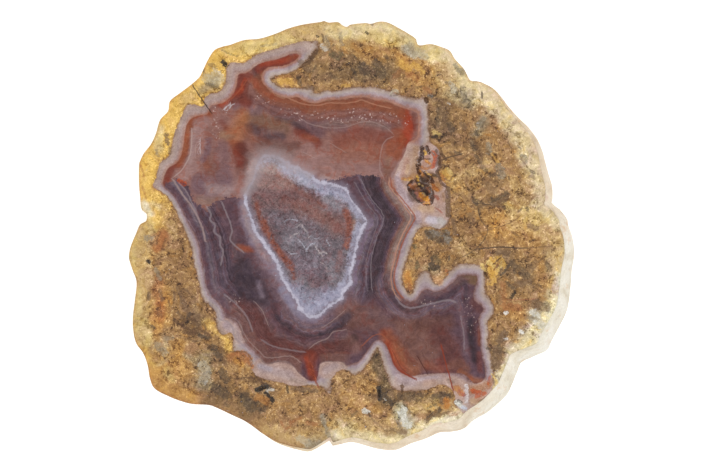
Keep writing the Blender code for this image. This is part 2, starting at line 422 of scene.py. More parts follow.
# the brown stone round the agate
matrixPaint = {
    "colours": {
        "butter": (230, 190, 106), "straw": (222, 198, 140), "cream": (228, 211, 174),
        "ivory": (240, 233, 216), "shell": (232, 208, 184), "sand": (198, 166, 118),
        "honey": (194, 146, 80), "rust": (166, 104, 54), "tan": (168, 130, 88), "clay": (152, 115, 76),
        "bark": (120, 92, 64), "soot": (88, 71, 52), "ash": (150, 138, 116), "frost": (206, 202, 186),
        "gold": (218, 162, 66), "linen": (222, 203, 172), "chalk": (244, 241, 232),
    },
    "base": "tan",
    "loose": 1.0,
    "strokes": """
clay .7 60 440,110 500,170 480,230
tan .7 44 515,150 520,240 530,290
honey .4 30 500,225 530,235
clay .6 40 180,260 190,330 240,390 310,410 380,400
butter 1 30 150,210 148,168 163,138 178,112 203,82 222,60 250,48
straw .9 16 250,45 280,39 310,29 350,29
linen .6 10 324,30 338,32
straw .8 12 345,26 385,24 412,38
cream .9 22/10 352,22 385,20 420,38 455,54 470,78 500,92 528,122
linen .9 26/13 470,80 505,100 535,140 550,180 560,206
shell .7 10/5 500,92 520,112 540,142 550,172 554,198
cream .8 16/8 420,46 448,56 462,80
sand .7 16 438,70 452,92
sand .8 14 556,212 550,236 552,256
clay .4 10 548,258 552,270
ivory .8 30/13 576,292 566,316 554,338 536,352 520,372 508,392
cream .9 16/8 574,236 574,262 572,290
ivory .95 17/9 505,396 488,412 470,422 450,431 430,437
ivory .5 9/4 536,342 522,354 514,372
cream 1 17/9 450,430 411,441 385,447 345,441
straw .8 13 133,330 133,290 130,250 138,230
butter .7 12 150,372 140,345
honey .8 14 152,376 166,388 190,398
butter .8 14 222,60 200,84 188,98
ash .5 10 211,78 217,82
sand .6 8 186,100 196,94 205,88
straw .5 7 226,50 236,48
sand .8 14 300,32 330,34
honey .6 10 282,80 296,80
bark .7 16 314,70 345,72
clay .6 18 322,46 345,55
tan .5 6 335,85 352,84
honey .7 20 375,46 400,62 425,72
gold .5 9 396,62 412,66
clay .7 16 345,50 380,52
bark .85 22 352,68 388,71
soot .4 12 360,70 384,72
honey .4 9 358,54 386,56
ash .6 9 406,49 424,53
bark .9 16 438,105 440,130
bark .5 14 452,118 452,140
ash .6 12 455,95 466,100
ash .6 8 476,132 484,120
bark .6 10 472,145 482,160
bark .5 12 486,178 500,178
bark .45 9 490,200 502,198
bark .6 8 474,204 480,204
sand .6 16 460,182 470,192
honey .55 14 500,225 530,222
linen .7 6 556,210 566,220
clay .7 14 475,160 465,200 462,235
sand .5 12 462,245 475,262
bark .85 22 508,262 526,280
clay .6 14 545,262 548,300
clay .7 12 500,285 505,300
tan .6 12 505,312 522,318
honey .4 8 508,312 520,316
rust .2 9 505,306 520,312
bark .7 8 536,302 546,308
frost .55 11 534,316 542,328
bark .7 12 500,338 495,362
tan .5 6 502,356 498,370
shell .8 9 556,288 564,298
clay .7 12 425,244 440,255
gold .45 7 408,274 410,286
tan .8 20 352,394 372,388
honey .4 9 356,390 370,388
honey .4 12 352,402 372,406
soot .8 12 380,358 386,385 388,400
bark .8 8 390,395 425,398 448,395
sand .5 7 408,411 430,410
sand .6 6 372,428 394,434
straw .5 9 420,405 436,403
frost .8 12 400,412 408,422
tan .6 10 440,414 455,416
bark .5 8 390,432 402,432
tan .6 24 290,415 330,410
sand .7 12 270,430 300,440
ash .65 12 312,442 330,438
ash .6 7 324,418 330,438
cream .7 10 336,432 346,438
bark .7 18 214,392 236,396 252,408
soot .5 9 218,388 226,394
soot .6 10 244,400 256,406
ash .6 13 204,358 204,384
bark .7 9 214,344 222,362
ash .6 13 162,342 164,356
butter .6 8 206,322 214,330
butter .8 8 224,338 230,348
rust .6 9 158,282 160,305 158,330
honey .5 8 166,290 168,320
rust .8 8 163,235 158,248
bark .8 16 184,294 196,318
clay .6 16 178,240 184,264
clay .8 14 186,272 180,312
butter .6 8 152,188 142,198 146,208
sand .85 12 142,232 143,260 142,300 143,340
straw .5 6 138,290 137,330
honey .5 13 176,350 184,372
sand .4 9 160,352 158,366
clay .6 9 203,332 216,346
rust .6 8 232,357 240,360
sand .5 9 340,422 366,422 396,426
ivory .5 7 332,434 346,432
straw .6 12 528,213 544,220
linen .9 9/5 537,203 548,211 558,217
tan .5 6 544,224 548,230
cream .8 7 554,222 562,230
sand .6 10 516,184 526,200
ivory .8 7 142,205 148,214
clay .5 9 546,248 554,256
sand .6 9 470,172 486,166
straw .7 10 420,48 432,54
straw .7 8 372,32 392,42
sand .6 7 284,32 312,34
clay .6 8 298,78 310,84
clay .6 9 412,64 428,72
clay .75 13 440,238 450,258
bark .4 12 436,256 452,262
clay .75 11 258,394 270,404 284,402
clay .4 9 350,396 374,398
tan .6 9 420,402 440,406
clay .5 8 312,54 318,58
tan .6 7 162,206 168,222
honey .5 11 156,318 156,336
rust .9 7 159,304 160,319
straw .8 7 148,222 152,230
sand .6 7 172,226 174,236
honey .5 12 180,348 178,374
honey .85 9 156,373 170,366
tan .6 12 246,380 262,390
clay .6 14 262,404 286,416
straw .6 8 146,322 148,342
honey .4 6 152,300 156,330
sand .6 6 146,224 148,232
sand .6 9 302,430 326,436
sand .9 8 346,423 358,427
straw .4 5 350,424 356,426
ash .4 6 426,268 436,272
bark .6 9 430,234 446,240
rust .4 5 408,284 409,292
bark .5 11 257,384 272,394
bark .6 8 309,58 320,52
bark .5 9 372,396 378,402
sand .8 9 328,424 350,430
clay .7 7 498,300 506,307
clay .8 8 554,256 555,272
straw .5 8 508,205 514,215
sand .6 8 512,225 538,228
sand .7 8 386,38 400,41
straw .6 6 330,30 336,37
sand .5 6 338,44 350,46
cream .6 8 158,128 159,148
ash .6 8 203,90 214,84
cream .5 5/1 152,204 158,206
tan .5 8 424,104 433,112
clay .5 12 272,392 286,404
bark .5 9 186,322 196,334
sand .5 6/1 522,172 528,180
tan .5 7/1 490,118 496,126
linen .6 6/1 502,122 508,128
tan .5 8/1 452,114 458,124
tan .5 8/1 480,172 488,180
clay .5 5/1 550,290 556,296
linen .6 8/1 338,424 350,428
sand .6 6/1 390,418 398,424
sand .6 7/1 412,410 430,408
tan .5 7/1 302,428 314,430
linen .6 6/1 328,30 336,36
linen .5 8/1 380,34 400,38
tan .5 8/1 226,392 236,400
honey .6 8/1 156,356 174,354
ash .5 6/1 186,355 194,360
gold .4 5/1 236,360 242,364
straw .7 9/2 364,36 382,38 400,42
cream .6 8/2 346,430 356,434
bark .4 7/1 408,280 411,292
tan .5 10/1 518,256 522,288
honey .4 9/1 540,262 541,284
tan .5 8/1 170,236 168,250
honey .5 9/1 158,334 160,348
straw .4 7/1 168,370 172,380
cream .9 28/10 572,262 570,300 556,336 530,368 512,398 484,420 452,434
sand .7 9/4 560,238 557,262 554,282
shell .6 7 558,284 556,294
cream .8 12/6 556,296 548,320 534,346 522,358
ivory .8 9/4 506,384 494,398 478,410 456,420 432,430
sand .5 7/3 486,392 474,404 458,410
chalk .9 20/9 572,286 570,304 556,338 534,362 518,382 508,400
ivory .9 12/7 500,408 484,420 456,434 430,440
""",
}

# crisp little marks: colour, strength, half width, path
markPaint = {
    "colours": {
        "coal": (24, 14, 6), "soot": (70, 55, 40), "bark": (112, 84, 58), "ash": (143, 130, 107),
        "fog": (184, 174, 152), "frost": (214, 211, 200), "white": (238, 236, 230), "rust": (160, 96, 48),
        "brick": (140, 62, 38), "amber": (184, 116, 44), "gold": (224, 172, 74),
        "butter": (236, 200, 118), "olive": (84, 74, 46), "umber": (84, 54, 30), "rosy": (206, 172, 164),
        "milk": (208, 194, 192), "ice": (202, 204, 218), "peach": (212, 158, 116), "steel": (108, 99, 88),
        "ember": (176, 74, 34), "sepia": (56, 24, 4), "toffee": (148, 78, 22), "flame": (232, 156, 44),
    },
    "strokes": """
coal .95 2.4 223,62 226,66
bark .6 2.4 211,65 215,67
fog .5 5 208,78 220,78
soot .6 1.6 206,84 218,87
ash .6 2 212,74 220,73
frost .6 1.6 215,71 220,73
soot .7 1 203,68 204,73
olive .5 1 222,50 230,54 238,56
ash .4 1.4 262,46 276,44
bark .8 2 166,135 168,144
bark .6 1.6 170,148 170,154
ash .5 1.6 156,150 158,156
rust .5 1.2 141,166 144,176
rust .5 1.2 142,186 146,198
rust .4 1 152,186 162,194
ash .7 3 146,238 151,238
rust .6 3.6 164,234 159,248
umber .6 1.2 160,234 156,244
umber .5 1 166,238 162,250
coal .95 1.9 148,261 149,262
ash .6 2 156,270 160,279
bark .7 1.4 149,292 149,299
bark .6 1.6 160,290 162,300
bark .5 2 178,288 182,296
bark .7 3 182,302 188,312
soot .8 2 190,313 188,318
umber .8 1.6 174,320 179,324 181,323
umber .8 2 183,326 190,331 194,330
umber .8 1.6 184,332 191,334 197,332
soot .8 1.8 199,334 205,338 209,338
umber .7 1.2 188,338 194,341 200,341
umber .7 1 192,322 195,326
bark .6 1.4 178,312 182,318
umber .6 1 168,300 170,306
umber .5 3 159,309 160,315
umber .6 1 174,292 175,300
bark .6 1.2 183,288 188,292
umber .6 1 206,344 212,348
bark .7 3 196,316 200,330
soot .7 1.5 152,326 154,328
ash .6 4 158,346 164,352
soot .6 1.2 160,352 162,354
ash .4 2.4 166,338 172,338
fog .4 4.4 202,364 207,372 203,380
frost .5 1 198,366 200,362
frost .5 1 207,380 205,384
soot .7 3 213,347 219,356
rust .8 2.4 232,354 244,353 250,359
rust .7 2 246,360 252,366
soot .7 4 222,372 226,380
soot .5 4 215,388 228,396
coal .5 2 225,404 228,406
soot .6 5 245,396 250,408
soot .6 5 256,404 262,408
amber .4 4 258,398 266,402
coal .97 2.6 257,390 264,387.5 268,386
coal .95 1.9 266,393 270,397 273,401
umber .85 1 241,378 252,378 262,380
umber .85 1 250,376 258,382 270,384
frost .6 1.4 268,390 273,390
coal .8 1.4 287,387 288,392
bark .7 2.2 292,388 316,391
soot .6 1.2 300,391 312,392
rust .6 1.2 281,421 284,428 291,426 290,421
rust .6 1.6 292,422 300,418
rust .5 2 307,423 316,424
soot .5 1 300,404 304,408
ash .7 2 322,416 325,426 329,436
ash .6 3 312,446 324,443
soot .6 1.4 303,449 312,451
fog .5 4 300,438 308,443
bark .5 1.6 330,438 333,446
umber .95 1.8 379,388 379,398
frost .8 1.6 386,399 390,401
soot .8 2.4 384,395 392,404
frost .8 2.2 364,410 368,412
soot .8 1.2 369,413 370,416
soot .5 1.4 357,412 352,416
bark .5 1 372,419 382,428 388,431
bark .6 2.4 392,430 404,432
frost .8 5 403,412 407,424
ash .6 2 408,416 410,420
coal .9 1.2 399,417 400,418
steel .5 2 397,422 400,426
ash .5 3 408,412 409,418
soot .85 2.6 428,418 434,414 440,410
olive .6 1.2 428,408 436,404
bark .6 1.4 436,416 448,412
rust .6 1.2 450,416 458,414
amber .85 3.2 446,400 447,405
bark .6 1.6 440,398 442,404
umber .8 2 402,386 402,398
soot .5 4 400,397 420,397
soot .6 3 434,396 448,395
steel .8 4.6 430,234 436,236
steel .8 4 446,234 448,240
soot .8 2.6 427,232 432,238
coal .7 1.6 443,231 448,236
soot .7 3 436,238 442,241
olive .7 2 414,246 415,247
olive .7 2.6 417,263 418,266
soot .5 1 410,261 412,261
soot .8 2 432,258 433,260
soot .9 3.4 431,265 437,268
coal .8 1 428,268 437,271
olive .5 3 439,262 436,258
rust .9 1.6 446,271 447,274
umber .7 1 447,272 447,273
soot .8 .9 449,256 449,260
amber .7 3.4 407,275 409,284
rust .6 2 409,284 410,288
peach .5 3 436,280 440,282
gold .8 5 492,262 494,275
gold .5 3 500,258 504,266
gold .6 3 491,283 494,280
butter .8 3 489,262 495,268
butter .5 1.2 498,272 502,262
toffee .6 .9 494,270 498,264
bark .6 1 497,276 502,268
sepia .7 1.3 485,273 488,278
butter .7 2 482,266 485,271
sepia .7 1.2 489,281 491,284
umber .5 1 494,264 500,258
soot .8 1 500,276 506,270 510,264
bark .7 3 498,252 508,254
soot .6 3 512,262 516,270
soot .6 4 519,268 526,276
bark .7 4 516,284 528,282
soot .6 2 506,282 514,288
soot .5 2 546,262 550,270
bark .5 3 536,262 532,268
coal .85 1.6 515,292 511,298
rust .5 3 503,284 504,298
bark .7 5 536,304 546,308
soot .5 2 540,303 546,304
rust .6 4 505,306 518,308
white .8 1.6 505,312 507,313
white .7 1.4 520,331 523,333
white .6 1.4 503,338 508,339
frost .7 4 534,312 538,320
frost .6 4 538,322 544,328
ash .7 2.4 532,318 538,319
ash .6 1.6 537,310 540,313
bark .8 4 500,340 504,334
bark .8 5 498,350 496,364
soot .6 2 499,346 500,352
soot .7 1.6 488,348 490,350
butter .8 1.3 492,374 496,380 497,386
rust .5 1.6 492,380 488,388
frost .5 1.6 556,286 558,289
ash .5 1.2 573,252 574,256
umber .9 1.9 495,155 495,161
gold .5 1 492,154 498,162
soot .8 2 476,132 477,134
ash .7 2.6 479,126 483,119
soot .6 1 484,122 482,127
soot .8 1.2 482,92 482,98
ash .6 3 462,88 465,100
soot .75 1.2 456,92 457,93
soot .75 1.2 463,87 465,88
soot .75 1.2 464,94 466,96
soot .75 1.4 463,102 465,101
soot .6 1.2 468,106 470,105
fog .6 3 451,84 454,90
ash .7 2 455,65 457,67
ash .7 2 459,69 464,71
white .6 1 448,103 450,104
bark .5 4 444,110 446,126
soot .5 1.6 438,108 438,126
soot .6 3 448,124 452,130
coal .8 1.6 432,137 437,136
butter .5 2 434,132 439,134
bark .7 2.4 462,124 464,128
soot .6 2 472,142 474,150
soot .6 2 476,156 480,162
soot .5 1.4 470,140 476,146
ash .7 3 488,145 489,152
soot .5 1.4 486,150 490,154
ash .6 4 499,167 502,176
soot .6 2 490,176 496,174
soot .5 2 482,166 486,170
bark .5 4 488,186 494,190
soot .75 3 492,200 498,204
soot .75 3 499,198 506,194
soot .5 2 502,206 504,208
soot .7 2 474,200 477,204
soot .5 1 472,197 484,204
bark .5 1 480,206 496,204
ash .8 3.4 523,157 525,160
fog .4 1.6 524,158 524,159
soot .6 1.6 531,171 534,173
bark .5 2 530,176 534,178
soot .7 1.4 527,208 528,210
soot .6 1 518,212 522,208
bark .5 3 470,214 472,222
soot .5 1 479,208 480,216
umber .6 .9 457,155 460,151
soot .7 1.6 455,152 460,154
umber .8 1.6 442,154 446,160
umber .6 1.6 446,166 444,172
bark .6 3 530,226 536,228
coal .95 2.2 379,388 380,399
bark .8 3 492,205 500,202 507,197
umber .7 1 490,208 498,206 508,199
umber .7 1 497,196 503,194
umber .6 1.2 472,134 477,146 482,158
umber .6 1 538,262 546,256
umber .8 1.6 196,328 206,333 211,337
umber .7 1.4 188,318 198,322
umber .6 1 204,322 206,330
soot .8 1 148,294 148,300
umber .6 1 470,226 480,220 486,222
umber .5 .9 480,232 486,240 490,252
soot .6 2 456,68 462,73
coal .7 1 460,88 461,93
coal .6 1 466,98 470,101
bark .7 2 522,158 525,163
rosy .5 5 556,290 564,292
umber .6 .8 488,404 496,398 506,390
umber .7 2 427,421 436,412
umber .6 1 450,152 458,160 468,155
umber .5 1 230,378 246,380 262,384
milk .4 .6 289,239 293,235 299,233
milk .4 .6 302,227 307,232 309,239
ice .5 .6 306,251 310,245 315,243
milk .45 .6 314,244 318,250 324,258
milk .4 .6 318,254 324,252 330,256
ice .4 .6 299,240 304,246 307,251
milk .35 .6 296,228 301,224 304,229
ice .35 .6 311,236 316,239 320,237
milk .35 .6 320,262 326,266 327,272
ice .35 .6 286,250 291,254 297,253
ice .35 .6 284,222 290,219 298,221
ice .35 .6 326,240 330,246
bark .5 1.6 558,208 564,214
olive .7 4.4 334,55 339,56
soot .8 1.6 336,55 338,56
ash .5 3 326,38 328,48
soot .6 1 322,34 324,40
soot .5 1 330,48 334,44
frost .5 2 322,46 326,50
ash .5 2 340,34 342,44
soot .6 1 352,54 356,58
soot .6 4 362,66 366,72
soot .6 5 376,64 382,74
coal .4 3 380,66 382,70
coal .4 2.4 364,68 368,70
soot .5 2 386,56 388,60
soot .5 2 356,78 364,81
soot .5 1.6 352,68 356,74
coal .8 1.1 317,36 319,37
coal .8 1.2 366,32 368,34
coal .8 1.2 426,57 428,58
fog .6 4 406,48 414,54
steel .4 3 410,46 412,50
fog .5 4 418,52 424,56
gold .5 4 402,64 408,68
gold .5 3 414,64 422,72
rust .5 3 408,74 416,78
rust .4 3 396,76 400,72
soot .6 1 436,76 440,74
soot .6 1.2 446,82 450,84
umber .6 .9 508,142 511,148
soot .6 .9 518,146 521,149
umber .6 1 500,188 504,190
soot .6 1 508,176 510,180
umber .6 1 466,172 470,176
umber .5 1.2 512,232 518,236
soot .5 1 530,242 534,240
umber .5 1 494,238 498,242
soot .6 1 538,284 542,288
umber .5 1 526,300 529,306
fog .6 1.4 391,94 394,90 398,92
soot .5 .8 390,96 398,95
umber .95 1.9 426,99 427,102
steel .8 2 429,95 431,96
soot .6 1 416,88 424,86
rust .5 2 424,88 430,92
gold .35 1.6 342,86 350,85
bark .6 3 300,62 308,70
umber .8 2.6 303,66 310,60 316,52
soot .6 2 298,76 300,84
soot .5 1.4 312,72 316,66
bark .6 2 306,88 316,88
soot .4 2 330,74 336,78
gold .5 4 280,80 290,82
rust .5 1.4 276,78 290,76
coal .5 1 371,24 373,25
rust .4 1 504,100 514,114 522,122
rust .3 1.4 528,128 534,136
rosy .35 3 538,142 546,160
rosy .3 3 550,176 552,196
brick .35 1.2 500,96 503,98
""",
}


# the open corner of the agate at the right, with its gold hollow, and other marks on the agate
cornerPaint = {
    "colours": markPaint["colours"],
    "strokes": """
sepia .95 7.4 414,187 420,192 427,198
toffee .9 4.6 413,187 417,189
sepia .9 1.6 411,190 416,195 420,201
toffee .9 3.2 424,202 430,202
toffee .85 3 411,186 419,191
sepia .8 1.6 411,192 416,198 423,203
toffee .7 2 426,187 430,191
sepia .85 2 430,187 433,196 431,203
amber .7 2.2 421,198 428,202
amber .7 1.8 414,184 418,188
ember .6 2 416,193 421,200
flame .6 1.4 424,203 429,203
flame .95 3.6 421,195 427,199
butter .7 .9 423,193 425,197
sepia .9 1.4 418,186 426,190 431,197
coal .7 .9 410,192 414,197 420,203
sepia .85 4.2 420,180 426,184
coal .7 1.3 420,179 425,182
gold .8 1 417,176 419,181
butter .6 .9 419,184 423,186
fog .6 1 430,185 434,187
toffee .8 2.4 433,186 437,189
sepia .9 1.8 424,173 430,177 433,182
amber .8 1.2 420,171 423,175
gold .7 .9 426,172 430,175
sepia .9 1.6 417,165 418,170 420,174
sepia .9 2.4 422,148 422,158
sepia .9 1.8 427,147 429,153
gold .9 1.3 424,151 426,154
sepia .8 1.4 419,160 420,165
amber .8 1.4 426,161 429,163
umber .7 .9 424,159 430,159
ember .8 2.4 433,153 436,159 433,166
rust .7 1.3 431,166 426,169 422,167
sepia .5 .9 431,152 437,157 437,165
gold .6 1 405,180 410,180
amber .5 1.2 402,179 412,178
gold .5 4.8 446,172 448,177
butter .5 2.4 448,170 451,174
amber .7 1.4 442,174 443,180
bark .6 .9 444,178 449,181
sepia .7 .9 443,169 446,166
sepia .5 .9 450,180 453,176
umber .8 1.4 437,171 439,176 442,184 447,187
umber .8 1.3 437,172 440,167 444,165
soot .8 1.8 434,175 437,176
rust .8 1.2 444,176 445,180
umber .85 1.6 439,157 440,166
umber .7 1.4 441,148 441,154
brick .7 1.3 436,196 438,199
brick .6 .8 435,208 439,210 442,213
bark .9 2.2 448,188 448,204 448,216
umber .7 1.4 446,191 447,198
bark .7 1.8 453,220 455,234
brick .7 2.2 310,364 312,372
brick .75 1.5 312,372 315,380
brick .8 .9 315,380 319,388
ember .7 2.6 179,181 184,184
amber .6 3.2 456,388 462,393
ember .7 2.2 459,391 464,395
ember .8 2.4 473,391 480,393
ember .7 1.6 476,397 485,393
ember .6 1.2 488,384 490,376
milk .9 1.8 466,386 467,394 466,402
frost .9 2.2 456,402 460,405
ice .8 1.6 462,407 466,409
soot .8 1 458,400 462,402
umber .7 1.2 436,150 437,154
""",
}

# the band round the agate where it isn't plain: the drusy hollow, the milky masses and the corner
bandPaint = {
    "colours": {
        "pearl": (184, 154, 142), "lilac": (178, 156, 160), "blush": (186, 142, 122),
        "fawn": (158, 120, 88), "umber": (112, 74, 44), "wheat": (200, 164, 130), "ochre": (160, 114, 66),
        "snow": (208, 198, 208), "mist": (180, 172, 168), "rose": (174, 150, 146),
        "clay": (150, 124, 110), "peach": (184, 142, 118), "bronze": (168, 120, 88),
        "ice": (168, 158, 166), "shell": (173, 146, 134),
    },
    "base": "pearl",
    "loose": 0.5,
    "strokes": """
shell .9 12 153,184 162,166 172,152 178,128 188,110 202,106 212,98 226,84
shell .9 12 232,68 256,60 284,50 304,46 312,46
lilac .9 7 398,180 400,190 409,203
lilac .7 5 403,168 398,178
pearl .9 6 409,148 404,160 401,168
wheat .3 6 412,156 412,168
blush .6 4 407,160 404,172 402,176
wheat .7 3 408,166 407,172
fawn .7 5 416,148 416,160 413,172
lilac .6 3 420,153 421,156
blush .7 4 427,156 424,166
fawn .6 4 408,176 404,180
ochre .8 5 412,177 420,176 430,178
umber .9 7 420,180 428,178 432,176
umber .8 4 419,166 420,174
ochre .8 6 432,186 438,188
ochre .7 4 436,178 438,184
rose .7 4 436,150 438,158 436,168
umber .6 3 440,150 440,164
fawn .6 5 443,152 444,162
blush .5 4 436,196 440,202
fawn .7 3 443,194 444,200
wheat .7 6 422,209 432,209
pearl .7 6 438,206 440,214
snow .9 6 430,220 435,221
mist .9 5 440,220 444,223
lilac .8 5 418,214 420,226
mist .6 4 432,227 442,226
fawn .7 4 421,226 427,228
umber .7 4 444,228 450,224
clay .6 4 446,208 447,216
rose .9 7 262,368 276,371 290,376
ice .7 4 260,366 270,369
clay .8 4 292,380 304,382
rose .9 6 326,370 334,366
clay .8 4 343,365 348,368
lilac .9 5 226,325 232,330
rose .8 5 236,332 240,340
rose .9 6 400,382 412,384
snow .5 3 392,366 400,377 416,379 440,377
peach .6 5/1 470,388 480,388
peach .9 5 426,383 434,382
pearl .9 5 440,379 446,380
clay .9 3 449,380 452,382
pearl .8 4 456,380 462,382
peach .9 6 456,388 462,392
bronze .8 6 470,390 482,388 488,384
wheat .8 5 468,402 478,400
rose .8 4 466,392 468,404
mist .9 4 458,404 464,408
peach .9 5 484,394 480,400
""",
}


# the filling inside the white band
agateColours = {
    "ember": (160, 64, 34), "rust": (146, 80, 52), "brick": (124, 58, 44), "oxblood": (102, 50, 42),
    "sienna": (158, 98, 68), "tawny": (172, 118, 84), "amber": (166, 102, 54), "cocoa": (122, 84, 74),
    "umber": (102, 66, 58), "bark": (68, 48, 46), "ink": (56, 43, 50), "slate": (76, 60, 68),
    "plum": (96, 70, 78), "maroon": (100, 60, 56), "mauve": (120, 94, 100), "rose": (146, 106, 96),
    "blush": (160, 126, 119), "mist": (178, 154, 148), "lilac": (136, 118, 130), "iris": (160, 158, 180),
    "pearl": (182, 176, 188), "olive": (122, 92, 70), "tan": (158, 122, 96), "smoke": (128, 104, 98),
    "grit": (116, 101, 107), "rosewood": (126, 95, 94), "ash": (146, 138, 146), "fawn": (148, 122, 110),
    "fig": (110, 84, 86), "dusk": (66, 52, 59), "heather": (104, 88, 100), "violet": (126, 107, 126),
    "wine": (88, 60, 65), "russet": (134, 82, 60), "clay": (120, 78, 68), "copper": (146, 90, 64),
    "grape": (82, 65, 76),
}
upperPaint = {
    "colours": agateColours,
    "base": "rose",
    "loose": 0.7,
    "strokes": """
blush .6 22 300,158 320,163 345,173 372,175
sienna .4 20 345,148 376,150
brick .5 13 340,141 356,134 384,138
cocoa .5 12 304,124 330,126
plum .7 10 262,103 285,112 304,124 318,132
mauve .4 6 268,106 290,112
rust .9 8 262,76 264,86 276,96 300,103 330,104 372,105 404,113
umber .6 5 300,108 310,112
rust .6 7 330,114 350,115 385,117
mauve .5 6 300,119 318,125 345,128
ink .55 4 277,118 292,122 306,132
olive .7 12 250,117 268,123 284,128
slate .75 7 249,127 262,133 282,137
umber .7 6 260,141 284,146 298,145
brick .7 6 298,132 310,137 318,144
rust .5 4 304,136 316,140
blush .35 3 262,133 284,131
smoke .6 11 262,148 290,153
mauve .45 12 222,150 222,168
mauve .6 18 206,184 234,180
mauve .7 14 200,190 214,190 232,186
mauve .5 10 190,172 206,186
cocoa .6 9 204,160 212,170
rust .5 5 204,157 207,166
mauve .6 6 236,108 246,110 258,112
lilac .6 3 236,106 244,105 252,109
blush .5 4 251,98 254,107
tawny .6 12/1 231,133 238,122 243,114
amber .55 12/1 243,119 241,128 237,139
russet .6 10/1 247,132 252,140
tan .8 6 222,134 232,139
sienna .7 5 226,129 232,132
brick .5 4 222,122 226,128
rust .85 8 234,143 238,150
oxblood .85 8 240,146 244,156 241,168
brick .6 6 236,150 238,162
rose .7 8 238,172 240,184
blush .7 8 236,184 241,196
smoke .6 8 250,156 250,172
mist .9 7 254,164 251,180 248,194
mist .6 10/1 210,188 228,191
fawn .7 8/1 200,201 218,202
mist .7 4 322,177 332,180 341,183
blush .5 9 242,186 236,196
brick .9 10 242,82 240,92 246,102
ember .75 4 246,80 241,90 233,97 221,105
ember .65 4 252,78 257,86 266,94 280,99
oxblood .8 5 247,84 250,97
oxblood .7 5 232,101 242,96
ink .8 3.6 256,68 259,78
slate .6 4 254,70 256,77
brick .8 5 242,75 250,76
brick .9 7 258,68 276,64 294,58
ember .6 4 261,64 276,62 288,59
rust .6 3 288,59 298,56
oxblood .6 2.6 262,69 284,66
rust .95 7 208,115 198,118 190,124 187,134 186,146 183,156 177,164
sienna .6 3 188,126 186,140 183,152
brick .85 7 172,166 168,176 166,186
blush .95 9 204,122 199,130 199,150 194,164 184,175
mist .5 4 193,130 192,150 189,162
rose .5 6 199,146 198,160
mauve .75 5 209,140 207,152 203,160
ember .9 9 404,113 409,126 405,141
rust .85 7 402,140 397,156
oxblood .5 3 414,114 415,128
rust .7 9 392,122 400,138
mauve .3 5 380,127 388,126
rust .8 7 392,142 390,153
tan .5 5 388,160 387,174
cocoa .6 7 386,166 388,178
mist .5 2.6 400,163 394,173 391,183
""",
}
lowerPaint = {
    "colours": agateColours,
    "base": "plum",
    "loose": 0.35,
    "strokes": """
mauve .85 18 266,258 284,290 302,324
mauve .6 12 352,296 340,308 322,324
slate .95 28 226,258 244,282 256,302
ink .35 14 240,268 244,296
umber .7 10 230,302 246,314
cocoa .6 9 230,312 248,332
mauve .6 8 208,282 220,298 236,318
maroon .8 20 254,322 276,336 302,346
rose .4 6 246,340 256,348
cocoa .7 22 350,316 372,318
fig .5 9 372,314 388,320
maroon .7 12 326,350 358,342
umber .6 8 320,338 350,326
bark .8 7 328,350 340,346 354,338
slate .85 7 322,334 336,326 348,316
oxblood .8 8 308,346 312,356
brick .6 13/2 302,354 311,358 320,350
brick .9 8/1 310,354 311,366 313,379
ember .5 3 306,358 310,374
cocoa .9 34 412,322 424,346
rust .8 11 386,336 393,346 397,360
sienna .7 10 396,352 404,366 414,372
ember .5 7 388,344 394,358 402,370
rust .5 7 428,366 440,370
umber .7 12 420,322 448,322
maroon .85 16 438,334 450,350 456,366
brick .5 7 440,362 446,370
plum .9 11 465,292 467,306 471,330 472,356
ink .85 5 471,320 472,338 474,352 475,360
clay .9 7 450,366 460,364 466,369
russet .5 11/1 398,344 408,358 420,366
rose .4 9/1 347,340 357,348
sienna .7 5/2 460,373 470,379
dusk .8 3 469,322 470,344
mauve .7 3.4 456,303 462,316 464,336 466,352
wine .6 5 477,318 478,345 479,365
maroon .7 7 474,302 480,309
rust .5 3.4 480,328 480,344
sienna .7 5 472,381 482,382
brick .4 4 479,354 480,370
olive .9 7/4 459,280 467,277 476,280
umber .5 4 456,284 462,276
plum .8 16 388,250 384,296
rust .7 5 238,247 248,249 257,249
ember .3 2.4 244,248 252,250
lilac .9 9 244,204 247,222 254,238
lilac .95 9 256,242 266,256 276,270
lilac .7 7 278,274 284,286
iris .5 6 282,290 292,306 300,318
heather .8 6 226,262 222,288
lilac .5 4 258,282 262,296
mist .45 5 245,206 249,226 257,240
blush .45 5 258,246 264,254 270,260
oxblood .5 4 210,230 214,236
oxblood .5 4 213,245 216,251
iris .4 3 218,254 221,262
""",
}
crystalPaint = {
    "colours": agateColours,
    "base": "grit",
    "loose": 0.8,
    "strokes": """
rosewood .9 22 262,198 290,196 318,206 342,220
rosewood .6 12 260,222 270,236
rose .35 12 300,206 322,216 340,232
grit .6 14 282,224 306,232
slate .3 9 298,246 308,252
slate .2 8 274,226 282,240
ash .35 12 290,242 306,240 318,252
ash .6 14 300,282 306,292
grit .6 18 312,286 330,272
mauve .4 12 300,268 318,282
ash .4 10 332,262 336,286
lilac .35 12 296,262 318,268
blush .7 13 264,170 284,176
mist .7 9 260,166 276,168 294,176
blush .7 8 258,182 272,184 290,184
ash .7 6 262,156 278,156 290,163
pearl .8 10 290,168 306,176 318,184
pearl .6 8 284,160 296,168
pearl .8 6 302,182 314,183
iris .75 9 322,190 334,193 350,198
ash .7 8 326,200 340,204
pearl .5 5 340,196 348,199
ash .6 8 326,204 344,210
ash .8 6 352,210 358,220 355,232
tan .5 4 354,222 354,228
ash .4 5 350,240 346,250
ash .7 6 347,270 342,284
iris .5 12 296,292 308,300 326,294
iris .9 8 284,284 294,298 304,310
iris .8 8 312,310 328,300 343,290
ash .6 7 268,258 280,276
""",
}

